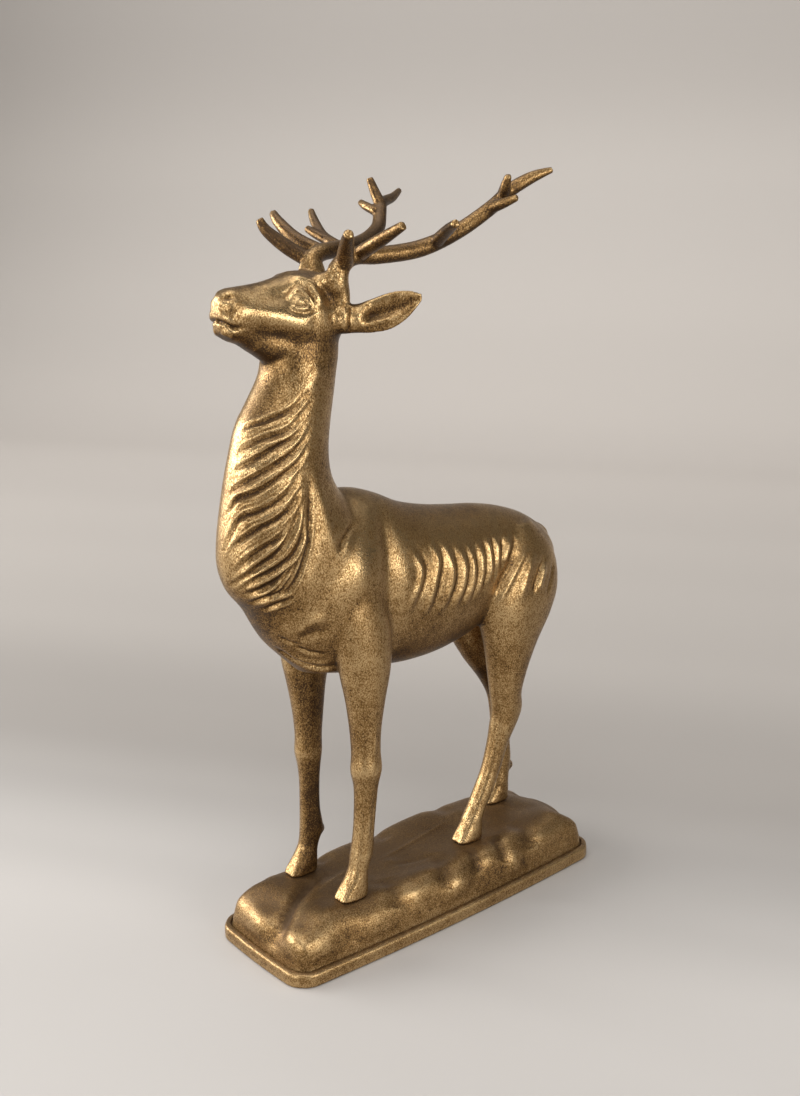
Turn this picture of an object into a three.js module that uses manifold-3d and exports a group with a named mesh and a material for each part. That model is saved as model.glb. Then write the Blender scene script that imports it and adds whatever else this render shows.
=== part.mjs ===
// A cast brass stag standing on a rocky plinth, as a shelf ornament.
// Millimetres, +Z up. The stag faces -Y and its left side is +X.
// The origin is the middle of the plinth's flat underside.
import * as THREE from "three";
import { mergeVertices } from "three/addons/utils/BufferGeometryUtils.js";
import Module from "manifold-3d";

// The plinth: a rounded slab with a rim, and the rock that rises inside it
const BASE = {
  length: 165,
  width: 56.4,
  corner: 8.5,
  sideBow: 2.5,
  endBow: 1.2,
  rimHeight: 5.8,
  rimRound: 1.4,
  grooveDepth: 0.9,
  wallInset: 4.5,
  wallTop: 15.4,
  crestEnds: 18.6,
  crestMiddle: 20.4,
  cellsAcross: 11,
  cellsAlong: 29,
};

// The two castings keep a seam under the hooves
const SEAM = 0.3;
const PAD_Z = 21.6;
const PAD_REACH = 11;

// How the body is faceted: points round a limb and rings along it, or for a branch, rings for each length
const FACETS = {
  trunk: [22, 30],
  neck: [26, 36],
  head: [18, 15],
  frontLeg: [10, 15],
  hindLeg: [10, 16],
  claw: [8, 3],
  tail: [6, 4],
  ear: [8, 7],
  branch: [6, 1.5],
  pebble: [8, 5],
};

// The carving of the coat
const RIBS = { depth: 0.9, first: 0.38, last: 0.74 };
const MANE = { depth: 1.2, thickness: 0.6, first: 0.16, last: 0.66, droop: 8, sway: 1.2 };

// Spines. A row is [x, y, z, lean, half width, reach to the back line, reach to the belly line, roundness].
// A lean of 0 puts the back line on top, and 90 puts it behind.
const TRUNK = [
  [0, -80, 149, 0, 8, 10, 10, 1],
  [0, -72, 149, 0, 14.5, 22, 22, 1],
  [0, -61, 148, 0, 18.5, 29, 30, 1],
  [0, -49, 147, 0, 20.3, 32.8, 33.5, 1],
  [0, -37, 146, 0, 20.3, 34.6, 34.6, 1],
  [0, -25, 144, 0, 19.4, 34, 34, 1],
  [0, -11, 142, 0, 19.8, 30.8, 33, 1],
  [0, 4, 141, 0, 19.6, 28.3, 31.6, 1],
  [0, 18, 141, 0, 18.2, 26.3, 29.2, 1],
  [0, 31, 142, 0, 16.4, 23.8, 26.5, 1],
  [0, 44, 142, 0, 15.8, 21, 24, 1],
  [0, 56, 141, 0, 15, 17.8, 21, 1],
  [0, 66, 139.5, 0, 12.4, 13.2, 15, 1],
  [0, 72.5, 138.5, 0, 7, 7.6, 9, 1],
];
const NECK = [
  [0, -53, 246, 90, 8, 7, 10, 1],
  [0, -56, 240, 90, 10.6, 10.4, 12.6, 1],
  [0, -57.5, 233, 90, 11.6, 12.8, 13, 1],
  [0, -59, 226, 90, 12.2, 14.6, 12.8, 1],
  [0, -61.5, 218, 90, 13, 16.6, 14.6, 1],
  [0, -64.5, 209, 90, 14, 18.2, 17, 1],
  [0, -66.5, 199, 90, 15, 19, 18.4, 1],
  [0, -67, 189, 90, 16.2, 20.8, 20.8, 1],
  [0, -64, 179, 90, 17.4, 24, 26, 1],
  [0, -60, 170, 90, 18.4, 27, 31.6, 1],
  [0, -56, 160.5, 90, 19, 26, 36, 1],
  [0, -54, 151.5, 90, 19, 24, 35, 1],
  [0, -53, 144, 90, 18.4, 22, 31, 1],
  [0, -52, 136, 90, 17.2, 19, 26.6, 1],
  [0, -50, 126, 90, 15, 15, 21.6, 1],
  [0, -47, 114.5, 90, 10, 9, 12, 1],
];
const HEAD = [
  [0, -36.5, 246, 0, 6, 5, 7, 1],
  [0, -40, 246, 0, 9.6, 10.5, 12, 1],
  [0, -46, 246, 0, 11.8, 14.8, 15, 1],
  [0, -53, 246, 0, 12.6, 16, 18, 1],
  [0, -60, 247, 0, 12.3, 15.2, 19.4, 1],
  [0, -66, 247.5, 0, 10.6, 13.6, 18.4, 1],
  [0, -71.5, 248, 0, 8.8, 12.3, 16, 1],
  [0, -77, 248.2, 0, 7.5, 11, 12.4, 1],
  [0, -82.5, 248.2, 0, 7.1, 10, 9.8, 1.1],
  [0, -87, 248.2, 0, 6.8, 8.8, 8.6, 1.15],
  [0, -90, 248.4, 0, 6, 6.6, 6.4, 1.1],
  [0, -91.4, 248.6, 0, 3.6, 3.6, 3.6, 1],
];
const LEFT_FRONT_LEG = [
  [12.5, -42, 158, 90, 5, 9, 10, 1],
  [15, -41.5, 138, 90, 7.2, 12.5, 13.5, 1],
  [15.4, -40.5, 124, 90, 7.8, 12, 12, 1],
  [15.2, -39.7, 113, 90, 7.4, 10.4, 10.6, 1],
  [15, -39.6, 102, 90, 6.5, 8, 8, 1],
  [14.8, -39.6, 90, 90, 5.3, 6.4, 6.3, 1],
  [14.7, -39.4, 80, 90, 4.8, 5.3, 5.5, 1],
  [14.7, -39.4, 73.5, 90, 5, 5.3, 5.9, 1],
  [14.7, -39.5, 67.5, 90, 4.2, 4.7, 4.7, 1],
  [14.6, -40, 60, 90, 3.6, 4.1, 3.9, 1],
  [14.6, -41.2, 48, 90, 3.3, 3.8, 3.5, 1],
  [14.6, -42.3, 39, 90, 3.9, 4.6, 4.2, 1],
  [14.6, -43.4, 33.5, 90, 3.8, 3.9, 4, 1],
  [14.5, -44.8, 29, 90, 4.2, 4, 4.6, 1],
];
const RIGHT_FRONT_LEG = [
  [-12.5, -43, 158, 90, 5, 9, 10, 1],
  [-15, -43.5, 138, 90, 7.2, 12.5, 13.5, 1],
  [-15.4, -44.5, 124, 90, 7.8, 12, 12, 1],
  [-15.2, -45, 113, 90, 7.4, 10.4, 10.6, 1],
  [-15, -45.2, 102, 90, 6.5, 7.9, 8, 1],
  [-14.8, -45, 90, 90, 5.3, 6.4, 6.3, 1],
  [-14.7, -45, 80, 90, 4.8, 5.4, 5.5, 1],
  [-14.7, -45, 73.5, 90, 5, 5.3, 5.9, 1],
  [-14.7, -45, 67.5, 90, 4.2, 4.7, 4.7, 1],
  [-14.6, -45.1, 60, 90, 3.6, 4.2, 4.1, 1],
  [-14.6, -45.2, 48, 90, 3.5, 4.2, 4, 1],
  [-14.6, -45, 39, 90, 3.9, 4.9, 4.5, 1],
  [-14.6, -46, 33.5, 90, 3.8, 4.1, 4.1, 1],
  [-14.5, -47.6, 29, 90, 4.2, 4.3, 4.8, 1],
];
const LEFT_HIND_LEG = [
  [6.5, 47, 157, 90, 5.5, 9, 9, 1],
  [8.8, 47, 144, 90, 9, 20, 18, 1],
  [10.2, 46, 129, 90, 10.5, 23, 21, 1],
  [10.6, 44, 117, 90, 9.8, 20.8, 17, 1],
  [11, 43, 106, 90, 8.4, 13.8, 13.4, 1],
  [11, 41.5, 95, 90, 7, 10, 10, 1],
  [11, 40.6, 84, 90, 5.6, 7.6, 7.6, 1],
  [11, 41, 76.5, 90, 5, 8.2, 7, 1],
  [10.7, 39.6, 70.5, 90, 4.8, 7.4, 6.2, 1],
  [10.3, 37, 62, 90, 4.1, 5.2, 4.8, 1],
  [10, 33.4, 51, 90, 3.7, 4.7, 4.2, 1],
  [9.8, 29.3, 42, 90, 4, 4.6, 4.2, 1],
  [9.6, 25.8, 35.5, 90, 3.9, 4.3, 4, 1],
  [9.5, 23, 30, 90, 4.3, 4.6, 4.6, 1],
];
const RIGHT_HIND_LEG = [
  [-6.5, 47, 157, 90, 5.5, 9, 9, 1],
  [-8.8, 47.5, 144, 90, 9, 18.5, 18, 1],
  [-10.2, 47, 129, 90, 10.3, 18, 21, 1],
  [-10.4, 45, 117, 90, 9.6, 16.4, 17.5, 1],
  [-10.4, 44.5, 106, 90, 8.4, 14, 15, 1],
  [-10.4, 48.6, 94, 90, 7, 11, 11.3, 1],
  [-10.3, 54, 84, 90, 5.6, 8.4, 8.6, 1],
  [-10.2, 58, 76.5, 90, 5, 8.4, 7.6, 1],
  [-10.2, 59.4, 70.5, 90, 4.8, 7.4, 6.4, 1],
  [-10.2, 59.4, 62, 90, 4.1, 5, 5.1, 1],
  [-10.2, 59.6, 51, 90, 3.7, 4.4, 4.6, 1],
  [-10.2, 60.2, 41, 90, 4, 4.6, 4.6, 1],
  [-10.1, 59.6, 35.5, 90, 3.9, 4.2, 4.3, 1],
  [-10, 58.6, 30, 90, 4.3, 4.4, 4.8, 1],
];
const TAIL = [
  [0, 66, 152, 60, 3.5, 3, 4, 1],
  [0, 71.5, 149.6, 75, 3.2, 2.4, 3, 1],
  [0, 74, 146, 90, 2.4, 1.6, 2, 1],
  [0, 74.4, 142, 90, 1.3, 0.9, 1.2, 1],
];

// Where each hoof stands
const HOOVES = [
  [14.5, -46.2],
  [-14.5, -49.2],
  [9.5, 21.4],
  [-10, 57],
];

// The antlers: points [x, y, z, radius] along each branch. The cast ones aren't quite mirror images.
const LEFT_ANTLER = {
  beam: [
    [9.5, -46, 254, 3.4],
    [10, -47, 260.5, 3.5],
    [11, -44.6, 265, 2.9],
    [11.5, -39.5, 267.2, 2.8],
    [13, -30, 267, 2.7],
    [17.5, -15, 269, 2.7],
    [24.5, -3, 275, 2.4],
    [31, 7.5, 283.5, 2.2],
    [34.5, 13, 289.5, 2.2],
    [38.5, 20, 294, 1.8],
    [42, 26.5, 297.2, 0.7],
  ],
  burr: [
    [8.6, -48.6, 257.4, 1],
    [9.4, -49.6, 260.4, 2.4],
    [10.6, -48.4, 263.6, 2],
    [11.4, -46.6, 265.4, 1],
  ],
  brow: [
    [11.6, -45, 264.6, 2.2],
    [18.5, -49.2, 271, 1.7],
    [25, -54, 275.4, 0.8],
  ],
  bez: [
    [11.5, -39, 267.4, 2.3],
    [25, -39.8, 272.6, 2.2],
    [37, -39.4, 277.8, 1],
  ],
  trez: [
    [20, -10, 271.2, 2.2],
    [30, -13.4, 275.6, 1.6],
    [39, -17.4, 278.4, 0.9],
  ],
  spike: [
    [33, 10.4, 286.4, 2],
    [36, 9, 290.6, 1.7],
    [38.6, 8, 295, 0.8],
  ],
  spur: [
    [30.5, 6.4, 283, 1.8],
    [37, 7.4, 285, 1.5],
    [43, 8.4, 287, 0.8],
  ],
};
const RIGHT_ANTLER = {
  beam: [
    [-9.5, -43, 254, 3.2],
    [-10, -43.6, 260.5, 3.1],
    [-11, -43, 265, 2.8],
    [-11.7, -38, 267.5, 2.7],
    [-14, -28.5, 268.6, 2.7],
    [-17.5, -18, 269.5, 2.6],
    [-22.5, -6.2, 272, 2.6],
    [-27, 2.6, 276.2, 2.4],
    [-31, 7, 281.6, 2.3],
    [-34, 10.6, 285.4, 2],
    [-38, 19.4, 287.6, 1.4],
    [-42, 26.4, 290.4, 0.7],
  ],
  burr: [
    [-8.6, -46.4, 257.4, 1],
    [-9.4, -47.2, 260.4, 2.2],
    [-10.6, -46, 263.6, 1.9],
    [-11.4, -44.4, 265.4, 1],
  ],
  brow: [
    [-12, -42.6, 264.6, 2.3],
    [-18, -48.3, 269.4, 2.4],
    [-23, -53.4, 275.2, 1.7],
    [-25, -55, 279.4, 0.8],
  ],
  bez: [
    [-12, -36.6, 268, 2.3],
    [-23, -40, 272.2, 2.4],
    [-32, -41, 278, 1.8],
    [-37, -40.2, 281.6, 0.9],
  ],
  trez: [
    [-17, -26, 269.6, 2.2],
    [-27, -24.4, 273, 1.7],
    [-35, -22.2, 278.2, 1.4],
    [-40, -20.2, 282.4, 0.8],
  ],
  twig: [
    [-23, -25.6, 271.6, 1.6],
    [-29, -26.4, 273.6, 1.3],
    [-34, -26.8, 275.4, 0.7],
  ],
  spike: [
    [-33, 8.7, 285, 1.9],
    [-36, 8.6, 289.4, 1.5],
    [-38.6, 8, 295, 0.8],
  ],
  spur: [
    [-31, 5.4, 282, 1.6],
    [-38, 5.4, 284.2, 1.3],
    [-43, 6.9, 285.6, 0.8],
  ],
};

const wasm = await Module();
wasm.setup();

const mix = THREE.MathUtils.lerp;
const smooth = THREE.MathUtils.smoothstep;

// A value that runs smoothly through the rows, with u going from 0 at the first row to 1 at the last.
function along(rows, u) {
  const at = THREE.MathUtils.clamp(u, 0, 1) * (rows.length - 1);
  const i = Math.min(Math.floor(at), rows.length - 2);
  const f = at - i;
  const pick = (k) => rows[THREE.MathUtils.clamp(k, 0, rows.length - 1)];
  const [a, b, c, d] = [pick(i - 1), pick(i), pick(i + 1), pick(i + 2)];
  return b.map((_, k) => {
    const slopeIn = (c[k] - a[k]) / 2;
    const slopeOut = (d[k] - b[k]) / 2;
    const bend = 3 * (c[k] - b[k]) - 2 * slopeIn - slopeOut;
    const twist = 2 * (b[k] - c[k]) + slopeIn + slopeOut;
    return b[k] + f * (slopeIn + f * (bend + f * twist));
  });
}

const signedPower = (value, power) => Math.sign(value) * Math.abs(value) ** power;

// The point of a limb's skin at share u along its rows and angle a round it, 0 on the back line.
// Swell stands the skin out from the spine by that many millimetres.
function skinPoint(rows, u, a, swell = 0) {
  const [x, y, z, lean, half, back, belly, round] = along(rows, u);
  const rise = Math.cos(a);
  const side = signedPower(Math.sin(a), 1 / round) * (half + swell);
  const reach = (rise > 0 ? back : belly) + swell;
  const up = signedPower(rise, 1 / round) * reach;
  const tilt = THREE.MathUtils.degToRad(lean);
  return new THREE.Vector3(x + side, y + up * Math.sin(tilt), z + up * Math.cos(tilt));
}

// Closed rings of points, each joined to the next, with a fan at either end.
function solidFromRings(rings) {
  const sides = rings[0].length;
  const points = rings.flat();
  const last = (rings.length - 1) * sides;
  const faces = [];
  for (let i = 0; i < sides; i++) {
    const j = (i + 1) % sides;
    faces.push(points.length, j, i, points.length + 1, last + i, last + j);
    for (let row = 0; row < last; row += sides) {
      faces.push(row + i, row + j, row + sides + j);
      faces.push(row + i, row + sides + j, row + sides + i);
    }
  }
  return solidFrom([...points, middleOf(rings[0]), middleOf(rings.at(-1))], faces);
}

function middleOf(ring) {
  const sum = ring.reduce((total, p) => total.add(p), new THREE.Vector3());
  return sum.divideScalar(ring.length);
}

// A solid from points and triangles, turned the right way out.
function solidFrom(points, faces) {
  let volume = 0;
  const cross = new THREE.Vector3();
  for (let i = 0; i < faces.length; i += 3) {
    const [a, b, c] = faces.slice(i, i + 3).map((k) => points[k]);
    volume += a.dot(cross.crossVectors(b, c));
  }
  const vertProperties = new Float32Array(points.flatMap((p) => p.toArray()));
  const triVerts = new Uint32Array(faces);
  if (volume < 0) triVerts.reverse();
  return new wasm.Manifold(new wasm.Mesh({ numProp: 3, vertProperties, triVerts }));
}

// A limb: rings round its spine. Relief gives the swell at share u, angle a, ring and side.
function limb(rows, [sides, rings], relief = () => 0, warp = () => 0) {
  const grid = [];
  for (let r = 0; r <= rings; r++) {
    const ring = [];
    for (let i = 0; i < sides; i++) {
      const a = (2 * Math.PI * i) / sides;
      const u = r / rings;
      const moved = u + (warp(u, a) * smooth(u, 0, 0.08) * (1 - smooth(u, 0.92, 1))) / rings;
      ring.push(skinPoint(rows, moved, a, relief(moved, a, r, i)));
    }
    grid.push(ring);
  }
  return solidFromRings(grid);
}

// Share of the belly-side half of a section, 0 on the back line and 1 on the belly line.
const towardsBelly = (a) => (1 - Math.cos(a)) / 2;

// The ribs: every other ring of the barrel stands out, most at mid height.
function ribRelief(u, a, r) {
  const inBarrel = smooth(u, RIBS.first, RIBS.first + 0.06) * (1 - smooth(u, RIBS.last - 0.1, RIBS.last));
  const onSide = Math.abs(Math.sin(a)) ** 2;
  return (r % 2 ? -1 : 1) * RIBS.depth * inBarrel * onSide;
}

// The locks of the mane: rings go by threes, a groove, a crest and a slope,
// and the locks at the side, the front corner and the front are staggered by one ring each.
const LOCK_STEPS = [-1, 1, 0.35];
function maneRelief(u, a, r) {
  const front = towardsBelly(a);
  const inMane = smooth(u, MANE.first, MANE.first + 0.08) * (1 - smooth(u, MANE.last - 0.03, MANE.last));
  const onFront = smooth(front, 0.3, 0.62);
  const step = LOCK_STEPS[(r + Math.floor(3 * front)) % LOCK_STEPS.length];
  return inMane * onFront * (MANE.depth * step + MANE.thickness);
}

// The locks flow down as they come forward, and sway on the way.
function maneFlow(u, a) {
  const front = towardsBelly(a);
  const amount = smooth(u, 0.12, 0.45) * (1 - smooth(u, 0.5, 0.75));
  return MANE.droop * amount * (front - 0.4) + MANE.sway * amount * Math.sin(2 * Math.PI * front);
}

// A branch of an antler: rings square to a smooth path, which thins to its tip.
function branch(path) {
  const [sides, ringsEach] = FACETS.branch;
  const places = path.map(([x, y, z]) => new THREE.Vector3(x, y, z));
  const curve = new THREE.CatmullRomCurve3(places);
  const steps = Math.ceil((path.length - 1) * ringsEach);
  const radii = path.map((row) => [row[3]]);
  const grid = [];
  for (let s = 0; s <= steps; s++) {
    const centre = curve.getPoint(s / steps);
    const ahead = curve.getTangent(s / steps);
    const across = new THREE.Vector3(0, 0, 1).cross(ahead).normalize();
    if (Math.abs(ahead.z) > 0.95) across.set(1, 0, 0).cross(ahead).normalize();
    const up = new THREE.Vector3().crossVectors(ahead, across);
    const [radius] = along(radii, s / steps);
    grid.push(
      Array.from({ length: sides }, (_, i) => {
        const a = (2 * Math.PI * i) / sides;
        return centre
          .clone()
          .addScaledVector(across, radius * Math.cos(a))
          .addScaledVector(up, radius * Math.sin(a));
      }),
    );
  }
  return solidFromRings(grid);
}

// An egg-shaped lump, for an eye or for the tool that hollows a nostril.
function pebble([x, y, z], [rx, ry, rz]) {
  const geometry = new THREE.SphereGeometry(1, ...FACETS.pebble);
  geometry.deleteAttribute("normal").deleteAttribute("uv");
  const merged = mergeVertices(geometry.scale(rx, ry, rz).translate(x, y, z));
  const { array } = merged.attributes.position;
  const points = [];
  for (let i = 0; i < array.length; i += 3) points.push(new THREE.Vector3(...array.slice(i, i + 3)));
  return solidFrom(points, Array.from(merged.index.array));
}

// The eye in its socket, under a brow and over the ridge of the cheek.
function eye(side) {
  const path = (rows) => branch(rows.map(([x, ...rest]) => [side * x, ...rest]));
  return [
    pebble([side * 8.4, -64.6, 254], [2.2, 3, 2.3]),
    path([[6.4, -69, 259.4, 0.6], [8.6, -65.5, 258.8, 1.5], [10.4, -61, 257, 1.7], [11.4, -56.5, 253.4, 0.9]]),
    path([[8, -70.5, 252, 0.6], [10, -64.5, 250.8, 1.2], [11.6, -58.5, 250.4, 0.8]]),
  ];
}

// The two claws of a hoof, which lean out towards the side.
function claw(x, y, side) {
  const sole = PAD_Z + SEAM;
  const rows = [
    [x + side * 2.7, y, sole, 90, 2.7, 4.6, 6.8, 1],
    [x + side * 2.7, y + 0.3, sole + 2.2, 90, 2.6, 4.5, 6.2, 1],
    [x + side * 2.4, y + 1.2, sole + 6, 90, 2.3, 4, 4.8, 1],
    [x + side * 1.8, y + 2, sole + 9.4, 90, 1.8, 3, 3.4, 1],
  ];
  return limb(rows, FACETS.claw);
}

// An ear: a leaf on its axis, with a hollow cut out of its front.
function ear(side) {
  const leaf = (swell, shift) =>
    [
      [12, -45.5, 246.2, 2.2, 2.8],
      [16, -42.5, 246.6, 3.4, 3.4],
      [20, -38.5, 247.2, 5.6, 3.2],
      [24, -33.5, 248.6, 6, 2.6],
      [27, -28.8, 250.6, 4.2, 1.9],
      [29, -25, 252.6, 1.2, 1],
    ].map(([x, y, z, tall, thick]) => [
      side * (x + shift),
      y - shift,
      z,
      0,
      Math.max(thick + swell, 0.3),
      Math.max(tall + swell, 0.4),
      Math.max(tall + swell, 0.4),
      1,
    ]);
  return limb(leaf(0, 0), FACETS.ear).subtract(limb(leaf(-1, 2.1).slice(2), FACETS.ear));
}

function join(solids) {
  return solids.reduce((whole, next) => whole.add(next));
}

function stagSolid() {
  const solids = [
    limb(TRUNK, FACETS.trunk, ribRelief),
    limb(NECK, FACETS.neck, maneRelief, maneFlow),
    limb(HEAD, FACETS.head),
    limb(LEFT_FRONT_LEG, FACETS.frontLeg),
    limb(RIGHT_FRONT_LEG, FACETS.frontLeg),
    limb(LEFT_HIND_LEG, FACETS.hindLeg),
    limb(RIGHT_HIND_LEG, FACETS.hindLeg),
    limb(TAIL, FACETS.tail),
  ];
  for (const path of [...Object.values(LEFT_ANTLER), ...Object.values(RIGHT_ANTLER)])
    solids.push(branch(path));
  for (const side of [-1, 1]) {
    solids.push(ear(side), ...eye(side));
    for (const [x, y] of HOOVES) solids.push(claw(x, y, side));
  }
  const nostrils = [-1, 1].map((side) => pebble([side * 5.8, -88.4, 254.2], [1.6, 1.6, 1.1]));
  const mouth = pebble([0, -91, 245.3], [10, 8.5, 0.6]);
  return [...nostrils, mouth].reduce((whole, hollow) => whole.subtract(hollow), join(solids));
}

// A place on the plinth's outline, pulled in by an inset, with s and t on a square's edge.
// The sides bow out a little between rounded corners.
function outline(s, t, inset) {
  const corner = Math.max(BASE.corner - inset, 1);
  const halfWidth = BASE.width / 2 - inset + BASE.sideBow * (1 - t * t);
  const halfLength = BASE.length / 2 - inset + BASE.endBow * (1 - s * s);
  const overX = Math.abs(s) * halfWidth - (halfWidth - corner);
  const overY = Math.abs(t) * halfLength - (halfLength - corner);
  if (overX <= 0 || overY <= 0) return [s * halfWidth, t * halfLength];
  const pull = corner / Math.hypot(overX, overY);
  return [
    Math.sign(s) * (halfWidth - corner + overX * pull),
    Math.sign(t) * (halfLength - corner + overY * pull),
  ];
}

// Rounded bumps of the rock: [x, y, radius along x, radius along y, height].
const BUMPS = [
  [20, -70, 12, 13, 3.6],
  [-12, -72, 13, 12, 3],
  [4, -52, 10, 12, 2],
  [22, -40, 8, 13, 2.2],
  [23, -12, 7, 14, 3],
  [20, 12, 8, 10, 1.6],
  [22, 36, 8, 12, 3],
  [16, 62, 10, 12, 1.6],
  [-16, 22, 12, 20, 3],
  [-18, -30, 10, 18, 1.6],
  [0, 74, 16, 10, 1.2],
];

function rockHeight(x, y) {
  const middle = 1 - smooth(Math.abs(y), 45, 82);
  let height = mix(BASE.crestEnds, BASE.crestMiddle, middle);
  for (const [bx, by, rx, ry, tall] of BUMPS)
    height += tall * Math.exp(-(((x - bx) / rx) ** 2) - ((y - by) / ry) ** 2);
  for (const [hx, hy] of HOOVES) {
    const near = 1 - smooth(Math.hypot(x - hx, y - hy), PAD_REACH / 2, PAD_REACH);
    height = mix(height, PAD_Z, near);
    if (near > 0) height = Math.min(height, PAD_Z);
  }
  return height;
}

// The plinth: a grid over the rock, then rings down its wall, groove and rim to a flat underside.
function baseSolid() {
  const { cellsAcross, cellsAlong, rimHeight } = BASE;
  const points = [];
  const faces = [];
  const index = (i, j) => j * (cellsAcross + 1) + i;
  const place = (i, j) => [(2 * i) / cellsAcross - 1, (2 * j) / cellsAlong - 1];
  for (let j = 0; j <= cellsAlong; j++)
    for (let i = 0; i <= cellsAcross; i++) {
      const [s, t] = place(i, j);
      const out = Math.max(Math.abs(s), Math.abs(t), 0.01);
      const [x, y] = outline(s / out, t / out, BASE.wallInset).map((v) => v * out);
      const edge = smooth(out, 0.72, 1) ** 1.5;
      points.push(new THREE.Vector3(x, y, mix(rockHeight(x, y), BASE.wallTop, edge)));
      if (i === 0 || j === 0) continue;
      const [a, b, c, d] = [index(i - 1, j - 1), index(i, j - 1), index(i, j), index(i - 1, j)];
      faces.push(a, b, c, a, c, d);
    }
  const border = [];
  for (let i = 0; i < cellsAcross; i++) border.push([i, 0]);
  for (let j = 0; j < cellsAlong; j++) border.push([cellsAcross, j]);
  for (let i = cellsAcross; i > 0; i--) border.push([i, cellsAlong]);
  for (let j = cellsAlong; j > 0; j--) border.push([0, j]);
  const rings = [
    [BASE.wallInset - 0.7, rimHeight + 4],
    [BASE.wallInset - 1.2, rimHeight + 0.4],
    [BASE.wallInset - 1.8, rimHeight - BASE.grooveDepth],
    [BASE.rimRound + 0.9, rimHeight],
    [0, rimHeight - BASE.rimRound],
    [0, 0.7],
    [0.7, 0],
  ];
  let above = border.map(([i, j]) => index(i, j));
  for (const [inset, z] of rings) {
    const below = border.map(([i, j]) => {
      const [x, y] = outline(...place(i, j), inset);
      return points.push(new THREE.Vector3(x, y, z)) - 1;
    });
    below.forEach((corner, k) => {
      const next = (k + 1) % below.length;
      faces.push(above[k], corner, below[next], above[k], below[next], above[next]);
    });
    above = below;
  }
  const middle = points.push(new THREE.Vector3(0, 0, 0)) - 1;
  above.forEach((corner, k) => faces.push(corner, middle, above[(k + 1) % above.length]));
  return solidFrom(points, faces);
}

function meshOf(name, solid, material) {
  const { vertProperties, triVerts } = solid.getMesh();
  const geometry = new THREE.BufferGeometry();
  geometry.setAttribute("position", new THREE.BufferAttribute(vertProperties, 3));
  geometry.setIndex(new THREE.BufferAttribute(triVerts, 1));
  geometry.computeVertexNormals();
  const mesh = new THREE.Mesh(geometry, material);
  mesh.name = name;
  return mesh;
}

const brass = new THREE.MeshStandardMaterial({ color: 0x8f6f3f, roughness: 0.42, metalness: 1 });
const darkBrass = new THREE.MeshStandardMaterial({ color: 0x6f532d, roughness: 0.5, metalness: 1 });

const figurine = new THREE.Group();
figurine.add(meshOf("base", baseSolid(), darkBrass), meshOf("stag", stagSolid(), brass));

export default figurine;
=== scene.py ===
# A cast brass stag on a rocky plinth, finished for its photograph.
# The scene is in metres. The tables of the castings are in millimetres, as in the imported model's source.
import math
import bpy
import numpy as np
from mathutils import Matrix, Vector


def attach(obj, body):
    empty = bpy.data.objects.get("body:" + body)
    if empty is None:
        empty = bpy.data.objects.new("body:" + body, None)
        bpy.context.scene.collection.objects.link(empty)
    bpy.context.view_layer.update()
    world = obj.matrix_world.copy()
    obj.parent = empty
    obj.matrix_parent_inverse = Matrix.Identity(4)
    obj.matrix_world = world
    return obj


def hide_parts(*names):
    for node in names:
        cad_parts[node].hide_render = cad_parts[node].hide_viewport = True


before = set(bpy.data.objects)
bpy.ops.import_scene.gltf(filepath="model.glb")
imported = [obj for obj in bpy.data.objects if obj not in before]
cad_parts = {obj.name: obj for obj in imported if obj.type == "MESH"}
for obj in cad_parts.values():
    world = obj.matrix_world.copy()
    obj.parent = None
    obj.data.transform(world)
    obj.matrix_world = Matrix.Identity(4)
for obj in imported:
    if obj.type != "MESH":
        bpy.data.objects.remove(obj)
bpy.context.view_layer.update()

mm = 0.001
print("frame loaded:", sorted(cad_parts))


def limbRows(lean, rows):
    # The lean goes in after z, and a row without a roundness is as round as an ellipse, 1
    return [[*row[:3], lean, *row[3:6], *(row[6:] or [1])] for row in rows]


# The stag's forms.
# A row of a limb is [x, y, z, half width, reach to the back line, reach to the belly line, roundness].
# A lean of 0 puts the back line on top, and 90 puts it behind.
trunkRows = limbRows(0, [
    [0, -80, 149, 8, 10, 10], [0, -72, 149, 14.5, 22, 22], [0, -61, 148, 18.5, 29, 30],
    [0, -49, 147, 20.3, 33.6, 35], [0, -37, 146, 20.3, 36, 36], [0, -25, 144, 19.4, 35, 34.8],
    [0, -11, 142, 19.8, 31, 34.2], [0, 4, 141, 19.6, 28.3, 32.8], [0, 18, 141, 18.2, 26.3, 30.4],
    [0, 31, 142, 16.4, 23.8, 27.4], [0, 44, 142, 15.8, 21, 24], [0, 56, 141, 15, 17.8, 21],
    [0, 66, 139.5, 12.4, 13.2, 15], [0, 72.5, 138.5, 7, 7.6, 9],
])
neckRows = limbRows(90, [
    [0, -53, 246, 8.6, 10.6, 10], [0, -56, 240, 11, 14.4, 12.6], [0, -57.5, 233, 11.9, 15.7, 13],
    [0, -59, 226, 12.3, 15.9, 13], [0, -61.5, 218, 13, 17, 15.4], [0, -64.5, 209, 14, 18.2, 18],
    [0, -66.5, 199, 15, 19, 18.9], [0, -67, 189, 16.2, 20.8, 20.8], [0, -64, 179, 17.4, 24, 26],
    [0, -60, 170, 18.4, 27, 31.6], [0, -56, 160.5, 19, 26, 36], [0, -54, 151.5, 19, 24, 35],
    [0, -53, 144, 18.4, 22, 30], [0, -52, 136, 17.2, 19, 25.6], [0, -50, 126, 15, 15, 20.8],
    [0, -47, 114.5, 10, 9, 12],
])
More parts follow.
